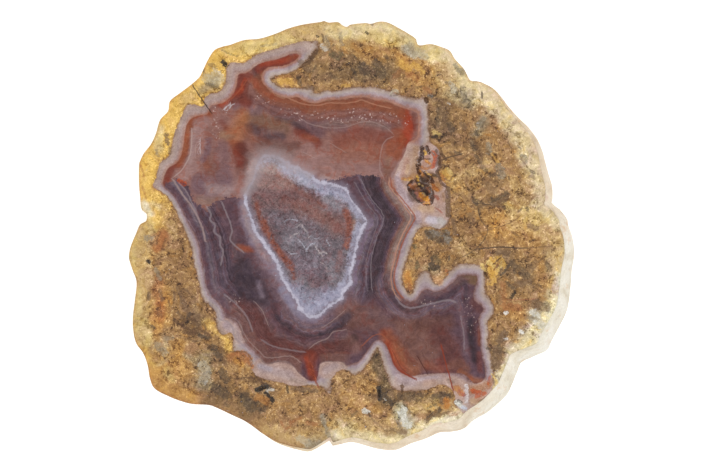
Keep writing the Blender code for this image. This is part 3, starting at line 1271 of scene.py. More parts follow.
# where layers and effects show, in strokes as above: on raises a share, off takes it away
layerStrokes = {
    "right": """
on 1 34/22 384,178 396,200 400,216 392,240 386,262 380,282
off 1 16/6 398,302 372,308
""",
    "left": """
on .95 34/20 180,198 196,220 206,245 214,270
on .6 20/12 224,296 240,320
off .5 18/8 244,270 252,292
""",
    "bottom": """
on .9 40/26 262,340 300,348 318,346
on .7 20/12 244,316 258,332
off 1 12/8 311,360 311,372
""",
    "lobe": """
on 1 26/18 396,292 404,298 430,294 450,288
off 1 9/4 464,270 476,276 474,286
""",
    "top": """
on 1 22/15 266,90 284,100 320,108 360,108 388,112
""",
    # painted glints: rows of small light flecks painted on the face as highlights
    "paintedGlints": """
on 1 5/3 258,98 272,103
on 1 7/4 286,109 300,117
on 1 7/4 317,115 345,118
on 1 7/4 350,114 372,117 405,119
on 1 4/2 214,108 215,122 217,138
on .8 3/2 422,302 434,304
on .8 6/3 466,300 474,330
on .7 6/3 230,296 240,304
""",
    "masses": """
on .6 9/6 153,184 162,166 172,152 178,128 188,110 202,106
on .6 9/6 206,100 220,92 228,76 236,68 256,60 284,50 304,46
on 1 17/13 411,158 409,180 416,200
on 1 15/11 430,156 432,176 436,196 437,214
on .9 10/7 424,218 436,222
on .8 12/8 262,368 282,373 298,378
on .8 10/7 326,370 340,365
on .7 8/5 226,325 240,338
on .6 10/7 402,382 440,380
on 1 12/9 452,386 468,394 484,390
on 1 8/6 464,406 476,402
""",
    "frosty": """
on .6 28 300,232 310,256
on .5 12 274,218 290,228
on .9 13/5 286,170 302,179 320,189
on .7 11/4 326,190 350,198
on .9 11/4 282,282 292,296 304,308 312,308
on .9 11/4 316,304 344,287
on .7 9/4 258,164 272,160 284,164
on .8 7/3 352,206 361,220 354,240 350,264 347,280
on .6 6/2 252,222 262,240 276,262 286,280
""",
    "haze": """
on 1 20/12 262,156 280,154 296,160
on 1 14/8 256,162 252,178 249,186
on .8 11/7 298,162 312,172
off 1 8/4 318,179 324,184
""",
    "rusty": """
on .8 3.4/1 257,204 261,220 266,232
on 1 4.6/2 263,222 268,234 275,247
on 1 4.6/2 276,246 284,258 291,267
on .8 3/1 291,266 294,278
on .9 4.6/2 345,211 349,222 349,236 346,246
on .4 4 340,252 337,270
on .6 3.4 277,175 284,178
on .4 3.4 303,194 311,199
on .7 3.4 319,203 326,207
on .25 7 284,200 300,206 322,218 340,228
on .4 4 288,183 300,192
""",
}


# fine lines: colour, strength, half width, path; lines of one set never cross
lineColours = {
    "pale": (178, 152, 146), "white": (196, 184, 186), "peach": (196, 144, 116), "grey": (150, 136, 140),
    "red": (140, 56, 34), "rust": (158, 84, 56), "dark": (54, 36, 28), "wine": (84, 44, 38),
    "brown": (108, 74, 46),
}
lineSets = {
    "firstLine": """
peach .4 .7 290,99 300,103 310,105 320,105 330,103 345,103 355,102 362,100 370,103 380,106 390,108
pale .3 .6 300,118 310,124 330,128 345,127 355,124 362,122 372,122 385,127 392,133
pale .35 .7 392,137 386,140 382,147 380,160 380,170 384,178
pale .7 .8 192,130 191,150 188,160 182,170 175,176
pale .55 1 173,180 176,184 183,195 190,204 196,214 202,227 205,240
grey .55 1 207,207 211,214 210,220 215,225 214,232 220,237 220,245 223,252 221,264
grey .55 .9 222,203 230,222 232,232 230,240 238,248 243,252
grey .5 1 204,270 204,284 210,295 210,304 217,311 219,319 228,322 233,329 235,338 242,344 248,352 \
258,357
grey .3 .6 355,183 368,205 378,219 372,240 366,262 367,290
pale .4 .6 310,348 318,342 328,338 333,332 345,330
pale .35 .5 323,327 334,320 345,310
pale .35 .5 255,302 263,312 268,325
grey .4 .9 262,340 272,346 290,350 304,352
rust .6 .6 388,341 384,336 378,334 370,338 362,346
red .9 1 388,345 395,365 402,372 415,379
wine .9 .6 418,357 423,366 427,373
red .9 .7 441,345 446,365 450,378 453,390
grey .4 .7 461,318 464,336 464,350
dark .9 .6 193,86 203,101 211,112
dark .6 .6 475,203 490,205
dark .6 .6 478,210 482,222 488,230 482,243 470,253 462,257
dark .85 .7 478,249 500,247 515,248 529,248
brown .6 .6 529,248 540,247 552,246
dark .7 .6 442,160 450,157 462,154
brown .6 .5 479,401 499,389
brown .6 .7 230,352 245,352 252,360
rust .5 .5 508,300 535,299
rust .4 .6 500,95 512,110 524,124 536,136
peach .65 .6 389,178 389,185 393,191 400,200 407,210 411,218 405,230 398,246 394,262 391,276 393,290 \
399,299
""",
    # the two short white lines near 224,109 are a real fracture, painted white as a glint off it: partly a
    # painted highlight
    "secondLine": """
grey .45 .5 361,180 372,200 384,217 376,240 371,262 372,290
pale .3 .5 330,143 345,152
pale .35 .5 303,152 315,158
grey .5 .8 180,184 186,191 192,203 197,213
white .6 .6 200,140 200,152
pale .5 .5 196,145 195,156
rust .8 .7 391,178 391,185 395,190 402,199 410,209 415,218 408,231 401,247 397,262 394,276 396,289 \
402,297
rust .5 .5 402,362 412,372
brown .6 .5 488,230 498,227 512,222 520,216
dark .4 .5 442,246 452,248 460,246
white .85 .6 224,109 230,104
white .7 .5 227,111 233,104
pale .35 .6 240,325 248,340 260,352 268,358 290,356 300,362
rust .6 .6 247,80 240,90 232,98 222,104
grey .55 1 396,297 402,305 412,308 430,304 448,300 455,302
grey .45 .9 225,295 237,305 247,317 252,330
wine .5 .5 393,352 400,366 408,374
""",
}


# distance to a stroke for the spots near it, and which spots those are
def nearStroke(spots, path, reach):
    line = onStone(path)
    if len(line) > 2:
        line = smoothCurve(line, False, 3)
    inBox = (spots > line.min(axis=0) - reach) & (spots < line.max(axis=0) + reach)
    near = np.flatnonzero(inBox.all(axis=1))
    gap, side = pathDistance(spots[near], line)
    return near, gap, side


# how far off the fields still tell of a mark or a line and how far under the face they go, in mm,
# and what stands where there is no mark or line
fieldRange = {
    "lineReach": 1.2,
    "farRatio": 8.0,
    "markReach": 0.9,
    "farDepth": -2.0,
    "under": 2.6,
}


# washes of colour over a plain base, with edges that wander more on the wider strokes
def paintField(spots, paint, bends):
    tones = {name: linear(tone) for name, tone in paint["colours"].items()}
    field = np.tile(tones[paint["base"]], (len(spots), 1))
    for name, strength, reach, solid, path in readStrokes(paint["strokes"]):
        wide = reach * pixel
        bend = min(0.4 * wide, 1.4) * bends[0] + min(0.2 * wide, 0.5) * bends[1]
        loose = spots + paint["loose"] * bend
        near, gap, _ = nearStroke(loose, path, wide)
        share = strength * smoothStep(gap, wide, solid * pixel)
        field[near] += (tones[name] - field[near]) * share[:, None]
    return field


# how strongly an effect shows, from 0
def shareField(spots, text, bends):
    field = np.zeros(len(spots))
    loose = spots + 0.2 * bends[0] + 0.12 * bends[1]
    for name, strength, reach, solid, path in readStrokes(text):
        wide = reach * pixel
        near, gap, _ = nearStroke(loose, path, wide)
        share = smoothStep(gap, wide, solid * pixel)
        goal = strength if name == "on" else 0.0
        field[near] += (goal - field[near]) * share
    return field


# crisp marks: depth inside the mark in mm, its strength and how ragged its edge is, and its colour
def markField(spots, paint, bends):
    field = np.zeros((len(spots), 3))
    field[:, 0] = fieldRange["farDepth"]
    tint = np.tile(linear(paint["colours"]["soot"]), (len(spots), 1))
    for name, strength, half, _, path in readStrokes(paint["strokes"]):
        wide = half * pixel
        loose = spots + min(0.3 * wide, 0.2) * bends[1]
        near, gap, _ = nearStroke(loose, path, wide + fieldRange["markReach"])
        depth = wide - gap
        over = (depth > field[near, 0]) | (depth > 0.3 * wide)
        chosen = near[over]
        field[chosen, 0] = depth[over]
        field[chosen, 1:] = strength, min(0.75 * wide, 0.5)
        tint[chosen] = linear(paint["colours"][name])
    return field, tint


# signed distance over half width, distance in mm and strength of the nearest line, and its colour
def lineField(spots, text):
    lineReach, farRatio = fieldRange["lineReach"], fieldRange["farRatio"]
    best = np.full(len(spots), lineReach)
    field = np.zeros((len(spots), 3))
    field[:, :2] = farRatio
    tint = np.tile(linear(lineColours["pale"]), (len(spots), 1))
    for name, strength, half, _, path in readStrokes(text):
        near, gap, side = nearStroke(spots, path, lineReach)
        closer = gap < best[near]
        chosen = near[closer]
        best[chosen] = gap[closer]
        field[chosen, 0] = np.clip(side * gap / (half * pixel), -farRatio, farRatio)[closer]
        field[chosen, 1] = gap[closer]
        field[chosen, 2] = strength
        tint[chosen] = linear(lineColours[name])
    return field, tint


def addField(mesh, name, values):
    flat = np.asarray(values, np.float32)
    if flat.ndim == 1:
        layer = mesh.attributes.new(name, "FLOAT", "POINT")
        layer.data.foreach_set("value", flat)
    elif name.endswith("Tint"):
        layer = mesh.attributes.new(name, "FLOAT_COLOR", "POINT")
        filled = np.hstack([flat, np.ones((len(flat), 1), np.float32)])
        layer.data.foreach_set("color", filled.ravel())
    else:
        layer = mesh.attributes.new(name, "FLOAT_VECTOR", "POINT")
        layer.data.foreach_set("vector", flat.ravel())


def paintStone(piece):
    mesh = piece.data
    places = np.zeros(len(mesh.vertices) * 3)
    mesh.vertices.foreach_get("co", places)
    places = places.reshape(-1, 3) / mm
    onFace = places[:, 2] > stone["faceHeight"] - fieldRange["under"]
    spots = places[onFace, :2]
    bends = [wander(spots, 2.6, 1), wander(spots, 0.8, 2)]
    slight = 0.35 * wander(spots, 2.4, 3) + 0.15 * wander(spots, 0.8, 4)
    ragged = 0.14 * wander(spots, 0.6, 7)

    shown = {name: shareField(spots, text, bends) for name, text in layerStrokes.items()}
    fields = {
        "agateDepth": outlineDepth(spots, agateOutline),
        "fillDepth": outlineDepth(spots, fillOutline),
        "crystalDepth": outlineDepth(spots + 0.6 * slight, crystalOutline),
        "upperDepth": outlineDepth(spots + 0.6 * slight, upperOutline, 2),
        "edgeDepth": outlineDepth(spots, silhouette),
        "pitDepth": stone["faceHeight"] - places[onFace, 2],
        "matrixTint": paintField(spots, matrixPaint, bends),
        "upperTint": paintField(spots, upperPaint, bends),
        "lowerTint": paintField(spots, lowerPaint, bends),
        "crystalTint": paintField(spots, crystalPaint, bends),
        "sideLayers": np.stack([shown["left"], shown["right"], shown["bottom"]], axis=1),
        "otherLayers": np.stack([shown["top"], shown["lobe"], shown["paintedGlints"]], axis=1),
        "crystalLook": np.stack([shown["frosty"], shown["haze"], shown["rusty"]], axis=1),
        "masses": shown["masses"],
        "bandTint": paintField(spots, bandPaint, bends),
    }
    for name, paint in (("mark", markPaint), ("corner", cornerPaint)):
        fields[name], fields[name + "Tint"] = markField(spots, paint, bends)
    for name, text in lineSets.items():
        fields[name], fields[name + "Tint"] = lineField(spots + ragged, text)
    for name, values in fields.items():
        values = np.asarray(values)
        whole = np.zeros((len(places),) + values.shape[1:])
        whole[onFace] = values
        addField(mesh, name, whole)
    print("paint:", len(fields), "fields on", len(spots), "points")


paintStone(stonePiece)


# a number, vector or colour inside a material, with ordinary arithmetic
class Signal:
    def __init__(self, tree, socket):
        self.tree = tree
        self.socket = socket

    def maths(self, operation, other=None, flip=False):
        item = self.tree.nodes.new("ShaderNodeMath")
        item.operation = operation
        for socket, value in zip(item.inputs, (other, self) if flip else (self, other)):
            wire(self.tree, socket, value)
        return Signal(self.tree, item.outputs[0])

    def __add__(self, other):
        return self.maths("ADD", other)

    def __sub__(self, other):
        return self.maths("SUBTRACT", other)

    def __rsub__(self, other):
        return self.maths("SUBTRACT", other, flip=True)

    def __mul__(self, other):
        return self.maths("MULTIPLY", other)

    def __truediv__(self, other):
        return self.maths("DIVIDE", other)

    def between(self, low, high):
        return rangeNode(self, low, high, 0.0, 1.0)

    __radd__ = __add__
    __rmul__ = __mul__


def wire(tree, socket, value):
    if isinstance(value, Signal):
        tree.links.new(value.socket, socket)
    elif value is not None:
        if socket.type == "RGBA" and len(value) == 3:
            value = (*value, 1.0)
        socket.default_value = value


def newNode(tree, kind, inputs, **settings):
    item = tree.nodes.new("ShaderNode" + kind)
    for name, value in settings.items():
        setattr(item, name, value)
    for name, value in inputs.items():
        wire(tree, item.inputs[name], value)
    return item


def rangeNode(signal, low, high, start, end):
    item = newNode(signal.tree, "MapRange", {
        "Value": signal, "From Min": low, "From Max": high, "To Min": start, "To Max": end,
    }, interpolation_type="SMOOTHSTEP")
    return Signal(signal.tree, item.outputs[0])


def mixColour(tree, share, first, second, blend="MIX"):
    item = tree.nodes.new("ShaderNodeMix")
    item.data_type = "RGBA"
    item.blend_type = blend
    wire(tree, item.inputs[0], share)
    wire(tree, item.inputs[6], first)
    wire(tree, item.inputs[7], second)
    return Signal(tree, item.outputs[2])


def fieldNode(tree, name, output="Fac"):
    item = tree.nodes.new("ShaderNodeAttribute")
    item.attribute_name = name
    return Signal(tree, item.outputs[output])


def splitVector(tree, vector):
    item = newNode(tree, "SeparateXYZ", {"Vector": vector})
    return [Signal(tree, output) for output in item.outputs]


def vectorMaths(tree, operation, first, second=None, scale=None):
    item = tree.nodes.new("ShaderNodeVectorMath")
    item.operation = operation
    wire(tree, item.inputs[0], first)
    wire(tree, item.inputs[1], second)
    if scale is not None:
        wire(tree, item.inputs["Scale"], scale)
    return Signal(tree, item.outputs[0])


def noiseNode(tree, place, size, detail, rough, bend=0.0):
    item = newNode(tree, "TexNoise", {
        "Vector": place, "Scale": 1.0 / size, "Detail": detail, "Roughness": rough, "Distortion": bend,
    })
    return Signal(tree, item.outputs["Fac"])


def shifted(tree, place, x, y):
    return vectorMaths(tree, "ADD", place, (x, y, 0.0))


usualSwing = 0.1175              # of the noise texture's plain layer, to either side of a half


# noise around 0 that mostly stays within 1 either way
def wave(tree, place, size, detail=2, rough=0.8, bend=0.0, at=0.0):
    layers = [rough ** step for step in range(detail + 1)]
    gain = sum(layers) / math.sqrt(sum(value * value for value in layers)) / usualSwing
    plain = noiseNode(tree, shifted(tree, place, at, 2.0 * at), size, detail, rough, bend)
    return gain * (plain - 0.5)


# the same along one distance, for thin sheets that lie side by side
def sheetWave(tree, along, detail, rough):
    item = newNode(tree, "TexNoise", {
        "W": along, "Scale": 1.0, "Detail": detail, "Roughness": rough,
    }, noise_dimensions="1D")
    return 8.0 * (Signal(tree, item.outputs["Fac"]) - 0.5)


def cellNode(tree, place, size):
    item = newNode(tree, "TexVoronoi", {"Vector": place, "Scale": 1.0 / size})
    return Signal(tree, item.outputs["Distance"])


def rampNode(tree, share, stops):
    item = newNode(tree, "ValToRGB", {"Fac": share})
    ramp = item.color_ramp
    while len(ramp.elements) < len(stops):
        ramp.elements.new(0.5)
    for element, (place, tone) in zip(ramp.elements, stops):
        element.position = place
        element.color = (*toneColour(tone), 1.0)
    return Signal(tree, item.outputs["Color"])


# the finish of face and rind; the shares are their colours against the picture's, for this much light
finish = {
    "faceShare": 0.75,
    "rockRough": 0.42,
    "agateRough": 0.16,
    "pitRough": 0.4,
    "faceShine": 0.4,
    "faceBump": 0.35,
    "faceBumpDeep": 0.1,
    # the rind's share is set higher than the face's as painted light, making up for the light its slanting
    # flanks lose
    "rindShare": 0.95,
    "rindRough": 0.8,
    "rindShine": 0.3,
    "rindBump": 0.5,
    "rindBumpDeep": 0.3,
}


def toneColour(tone):
    return tuple(float(value) for value in linear(tone))


def placeNode(tree):
    item = tree.nodes.new("ShaderNodeTexCoord")
    return vectorMaths(tree, "SCALE", Signal(tree, item.outputs["Object"]), scale=1.0 / mm)


def lineMask(tree, name):
    ratio, gap, strength = splitField(tree, name)
    core = ratio.maths("ABSOLUTE").between(1.5, 0.3)
    near = gap.between(0.6, 0.42)
    return core * near * strength


def newMaterial(name):
    material = bpy.data.materials.new(name)
    material.use_nodes = True
    tree = material.node_tree
    tree.nodes.clear()
    shader = tree.nodes.new("ShaderNodeBsdfPrincipled")
    output = tree.nodes.new("ShaderNodeOutputMaterial")
    tree.links.new(shader.outputs[0], output.inputs[0])
    return material, tree, shader


def scaleColour(tree, colour, share):
    return vectorMaths(tree, "SCALE", colour, scale=share)


def multiply(tree, share, colour, tone):
    return mixColour(tree, share, colour, toneColour(tone), "MULTIPLY")


def covered(tree, share, colour, tone):
    return mixColour(tree, share, colour, toneColour(tone))


def splitField(tree, name):
    return splitVector(tree, fieldNode(tree, name, "Vector"))


def addBump(tree, shader, height, strength, deep):
    item = newNode(tree, "Bump", {"Height": height, "Strength": strength, "Distance": deep * mm})
    tree.links.new(item.outputs[0], shader.inputs["Normal"])


# darker and deeper in colour where the swing is below 0, lighter and paler above it
def grainy(tree, colour, swing):
    dense = newNode(tree, "Gamma", {"Color": colour, "Gamma": 1.0 - 0.37 * swing})
    return scaleColour(tree, Signal(tree, dense.outputs[0]), (0.5 * swing).maths("EXPONENT"))


# a ramp along a distance: layers are written as distance and tone, from 0 to the last one
def layerRamp(tree, distance, layers):
    words = layers.split()
    places = [float(word) for word in words[::2]]
    tones = [agateColours[word] for word in words[1::2]]
    last = places[-1]
    stops = [(at / last, tone) for at, tone in zip(places, tones)]
    return rampNode(tree, distance * (1.0 / last), stops)


# tones that multiply a colour, which is then doubled: 188 leaves it as it is
hueTones = [
    (0.0, (188, 182, 202)), (0.3, (188, 185, 193)), (0.5, (188, 188, 186)), (0.7, (191, 188, 172)),
    (1.0, (202, 184, 142)),
]


def stained(tree, colour, swing):
    hue = rampNode(tree, 0.5 + 0.18 * swing, hueTones)
    return scaleColour(tree, mixColour(tree, 1.0, colour, hue, "MULTIPLY"), 2.0)


def matrixColour(tree, place):
    colour = fieldNode(tree, "matrixTint", "Color")
    edge = fieldNode(tree, "edgeDepth")
    busy = edge.between(0.4, 4.6)
    crumbs = wave(tree, place, 1.2, 3, 0.85, 1.0)
    patches = wave(tree, place, 3.6, 3, 0.75, 1.6, 3.0)
    fine = wave(tree, place, 0.3, 1, 0.9, 0.0, 5.0)
    swing = 0.16 * crumbs + 0.11 * patches + 0.08 * fine
    colour = grainy(tree, colour, (0.6 + 0.4 * busy) * swing)
    colour = multiply(tree, 1.0, colour, (255, 251, 234))
    hue = wave(tree, place, 2.8, 2, 0.7, 1.2, 7.0)
    colour = stained(tree, colour, (0.5 + 0.2 * busy) * hue)
    dark = wave(tree, place, 0.8, 3, 0.85, 0.5, 9.0) + 0.5 * patches
    colour = grainy(tree, colour, dark.between(-1.2, -2.0) * (0.3 + 0.7 * busy) * -1.3)
    crack = wave(tree, place, 4.0, 3, 0.7, 2.0, 13.0).maths("ABSOLUTE").between(0.05, 0.0)
    colour = grainy(tree, colour, crack * patches.between(0.6, -0.6) * busy * -0.75)
    pale = wave(tree, place, 0.6, 2, 0.9, 0.0, 11.0)
    colour = multiply(tree, edge.between(0.8, 0.1) * 0.35, colour, (240, 204, 150))
    return grainy(tree, colour, pale.between(1.3, 2.3) * (0.3 + 0.4 * busy))


def bandColour(tree, place, outer, inner, warm):
    share = outer / (outer - inner)
    ripple = wave(tree, place, 1.0, 2, 0.9)
    share = share + 0.035 * ripple
    colour = rampNode(tree, share, [
        (0.0, (130, 98, 76)), (0.07, (150, 121, 102)), (0.15, (168, 145, 131)), (0.26, (179, 159, 150)),
        (0.38, (178, 161, 156)), (0.52, (170, 152, 155)), (0.66, (164, 144, 149)), (0.78, (158, 133, 136)),
        (0.89, (142, 112, 110)), (1.0, (118, 84, 80)),
    ])
    rusty = share.between(0.5, 1.0) * warm * 0.8
    colour = covered(tree, rusty, colour, (176, 124, 104))
    milky = wave(tree, place, 2.2, 2, 0.7, 0.4, 3.0)
    sheet = sheetWave(tree, 7.0 * share + 0.06 * ripple, 1.0, 0.7)
    sugar = wave(tree, place, 0.3, 1, 0.9, 0.0, 5.0)
    masses = fieldNode(tree, "masses")
    colour = mixColour(tree, masses, colour, fieldNode(tree, "bandTint", "Color"))
    return grainy(tree, colour, 0.08 * milky + 0.06 * sheet + (0.04 + 0.05 * masses) * sugar)


# the layers of the filling, by how far in they lie: shares of the way to the crystal, or pixels
rightLayers = """
0 fawn .02 smoke .045 blush .09 fawn .14 smoke .2 cocoa .25 plum .3 grape .34 dusk .45 dusk
.52 slate .56 dusk .6 grape .64 heather .675 plum .71 grape .76 heather .81 grit .85 violet
.92 violet .96 lilac 1 ash
"""
leftLayers = """
0 mauve 1.5 plum 4 plum 6 heather 8 grit 10.5 heather 12.5 plum 15 grape 17 slate 18.5 plum
20 heather 21.5 plum 23.5 slate 27 grape 30 plum 34 fig 40 fig 44 heather 48 fig 56 mauve 64 lilac
"""
bottomLayers = """
0 smoke .03 cocoa .1 cocoa .15 cocoa .18 clay .21 maroon .25 maroon .38 maroon .44 fig .52 plum
.57 wine .61 dusk .64 dusk .67 plum .695 heather .715 mauve .74 fig .79 heather .86 mauve
.94 violet 1 lilac
"""
lobeLayers = """
0 fig 1.5 fig 3 fig 5 plum 7 slate 9 slate 11 plum 12.5 heather 14 mauve 15.5 heather 18 fig
20 plum 23 plum 27 wine 30 wine
"""
topLayers = """
0 tan 1 russet 3 russet 5 copper 7 russet 9 copper 12 clay 14 rose 17 clay 20 rosewood 23 smoke
26 smoke 30 rose
"""
crystalMiddle = (*onStone([(308, 238)])[0], 0.0)


def fillColour(tree, place, inner, crystal):
    upper = fieldNode(tree, "upperDepth")
    tatter = wave(tree, place, 0.8, 3, 0.95)
    above = (upper + 0.16 * tatter).between(-0.08, 0.08)
    left, right, bottom = splitField(tree, "sideLayers")
    top, lobe, paintedGlints = splitField(tree, "otherLayers")
    bendy = wave(tree, place, 2.4, 3, 0.7)
    crinkle = wave(tree, place, 0.6, 1, 0.8, 0.0, 2.0)
    depth = inner + 0.07 * bendy + 0.02 * crinkle
    inPixels = depth * (1.0 / pixel)
    share = inner / (inner - crystal) + 0.008 * bendy + 0.003 * crinkle

    lower = fieldNode(tree, "lowerTint", "Color")
    lower = mixColour(tree, left * 0.85, lower, layerRamp(tree, inPixels, leftLayers))
    lower = mixColour(tree, bottom * 0.85, lower, layerRamp(tree, share, bottomLayers))
    lower = mixColour(tree, right * 0.95, lower, layerRamp(tree, share, rightLayers))
    lower = mixColour(tree, lobe * 0.75, lower, layerRamp(tree, inPixels, lobeLayers))
    sheets = sheetWave(tree, 60.0 * share, 2.0, 0.85)
    thin = sheetWave(tree, 3.0 * depth, 2.0, 0.9)
    cloud = wave(tree, place, 2.0, 3, 0.8, 0.9, 4.0)
    fine = wave(tree, place, 0.3, 1, 0.9, 0.0, 6.0)
    lower = grainy(tree, lower, 0.08 * cloud + 0.03 * fine + sheets * (0.18 * right + 0.1 * bottom))
    lower = grainy(tree, lower, thin * (0.17 * left + 0.1 * lobe + 0.08 * bottom))
    hue = wave(tree, place, 2.0, 2, 0.7, 0.9, 8.0)
    lower = multiply(tree, hue.between(0.3, 2.0) * 0.5, lower, (255, 206, 196))
    lower = multiply(tree, hue.between(-0.3, -2.0) * 0.4, lower, (220, 218, 240))

    upperTone = fieldNode(tree, "upperTint", "Color")
    upperTone = mixColour(tree, top * 0.7, upperTone, layerRamp(tree, inPixels, topLayers))
    plumes = wave(tree, place, 2.6, 3, 0.8, 1.2, 1.0)
    tilted = newNode(tree, "Mapping", {
        "Vector": place, "Rotation": (0.0, 0.0, 0.45), "Scale": (0.3, 1.5, 1.0),
    })
    hairs = wave(tree, Signal(tree, tilted.outputs[0]), 0.6, 2, 0.85, 0.5)
    swing = 0.05 * plumes + 0.035 * hairs + 0.025 * fine + 0.08 * top * thin
    upperTone = grainy(tree, upperTone, swing)
    redder = wave(tree, place, 2.4, 2, 0.7, 1.2, 5.0)
    upperTone = multiply(tree, redder.between(0.2, 1.8) * 0.5, upperTone, (250, 200, 180))
    upperTone = multiply(tree, redder.between(-0.2, -1.8) * 0.4, upperTone, (226, 222, 232))
    upperTone = multiply(tree, 1.0, upperTone, (250, 244, 246))
    colour = mixColour(tree, above, lower, upperTone)

    # painted glints: light flecks where the glint layer is on, a painted highlight
    cell = cellNode(tree, shifted(tree, place, 0.3, 0.7), 0.5)
    flecks = wave(tree, place, 0.9, 2, 0.8, 0.0, 7.0).between(-0.5, 0.6)
    glintShare = cell.between(0.42, 0.18) * flecks * paintedGlints
    return covered(tree, glintShare * 0.75, colour, (210, 182, 174))


def crystalColour(tree, place, depth):
    colour = fieldNode(tree, "crystalTint", "Color")
    frosty, haze, rusty = splitField(tree, "crystalLook")
    plain = 1.0 - 0.6 * haze
    soft = wave(tree, place, 1.8, 3, 0.95, 0.4)
    sugar = wave(tree, place, 0.3, 1, 0.9, 0.0, 3.0)
    colour = grainy(tree, colour, plain * (0.1 * soft + 0.07 * sugar))
    tint = wave(tree, place, 1.1, 2, 0.85, 0.6, 9.0)
    colour = multiply(tree, tint.between(0.2, 1.8) * 0.6, colour, (252, 220, 218))
    colour = multiply(tree, tint.between(-0.2, -1.8) * 0.6, colour, (222, 236, 236))
    grains = wave(tree, place, 0.7, 2, 0.9, 0.0, 5.0)
    colour = grainy(tree, colour, grains.between(-0.8, -2.0) * plain * -0.4)

    # needles that point at the middle, plainest near the rim
    across = vectorMaths(tree, "SUBTRACT", place, crystalMiddle)
    level = vectorMaths(tree, "MULTIPLY", across, (1.0, 1.0, 0.0))
    around = vectorMaths(tree, "SCALE", vectorMaths(tree, "NORMALIZE", level), scale=11.0)
    lift = Signal(tree, newNode(tree, "CombineXYZ", {"Z": 0.28 * depth}).outputs[0])
    needle = wave(tree, vectorMaths(tree, "ADD", around, lift), 0.55, 2, 0.9, 0.3)
    rim = depth.between(4.0, 0.6)
    colour = grainy(tree, colour, 0.12 * needle * (1.0 - 0.3 * haze) * (0.35 + 0.65 * rim))

    web = wave(tree, place, 2.2, 3, 0.75, 1.5, 8.0)
    patchy = wave(tree, place, 2.6, 2, 0.8, 0.0, 4.0).between(-0.6, 0.8)
    feather = web.maths("ABSOLUTE").between(0.15, 0.0) * patchy
    colour = covered(tree, feather * (0.15 + 0.8 * frosty) * plain, colour, (188, 180, 188))
    frost = (frosty * (1.0 + 0.25 * soft)).between(0.3, 1.1) * (0.2 + 0.8 * rim)
    rings = cellNode(tree, place, 0.8) - 0.45
    icy = grainy(tree, toneColour((162, 160, 180)), 0.1 * soft + 0.5 * rings)
    colour = mixColour(tree, frost * 0.75, colour, icy)
    stain = rusty * wave(tree, place, 0.8, 3, 0.85, 0.5, 10.0).between(-2.4, -0.4)
    ochre = grainy(tree, toneColour((136, 74, 56)), 0.18 * grains)
    return mixColour(tree, stain * 0.85, colour, ochre)


# crisp marks laid on whatever is under them
def laidMarks(tree, place, colour, name, loose):
    depth, strength, ragged = splitField(tree, name)
    edge = wave(tree, place, 0.7, 3, 0.95, 0.0, 12.0)
    crumbs = wave(tree, place, 0.45, 2, 0.95, 0.0, 14.0)
    inside = (depth + loose * ragged * edge).between(-0.08, 0.06)
    cover = inside * strength * crumbs.between(-3.0, -0.8)
    tone = grainy(tree, fieldNode(tree, name + "Tint", "Color"), 0.2 * crumbs + 0.12 * edge)
    return mixColour(tree, cover, colour, tone)


# the bright frosty line along the crystal's rim
def rimLine(tree, place, colour, depth, haze):
    uneven = wave(tree, place, 1.6, 3, 0.8, 0.0, 2.0)
    ragged = depth + 0.03 * wave(tree, place, 0.6, 2, 0.9, 0.0, 6.0) - 0.06
    near = ragged.maths("ABSOLUTE")
    glow = near.between(1.5 + haze, 0.1) * 0.5
    glowTone = covered(tree, haze, toneColour((150, 143, 160)), (172, 160, 164))
    colour = mixColour(tree, glow, colour, glowTone)
    line = (near / (0.3 + 0.08 * uneven)).between(1.5, 0.25) * (1.0 - 0.8 * haze)
    tone = grainy(tree, toneColour((190, 185, 201)), 0.1 * uneven)
    return mixColour(tree, line * 0.9, colour, tone)


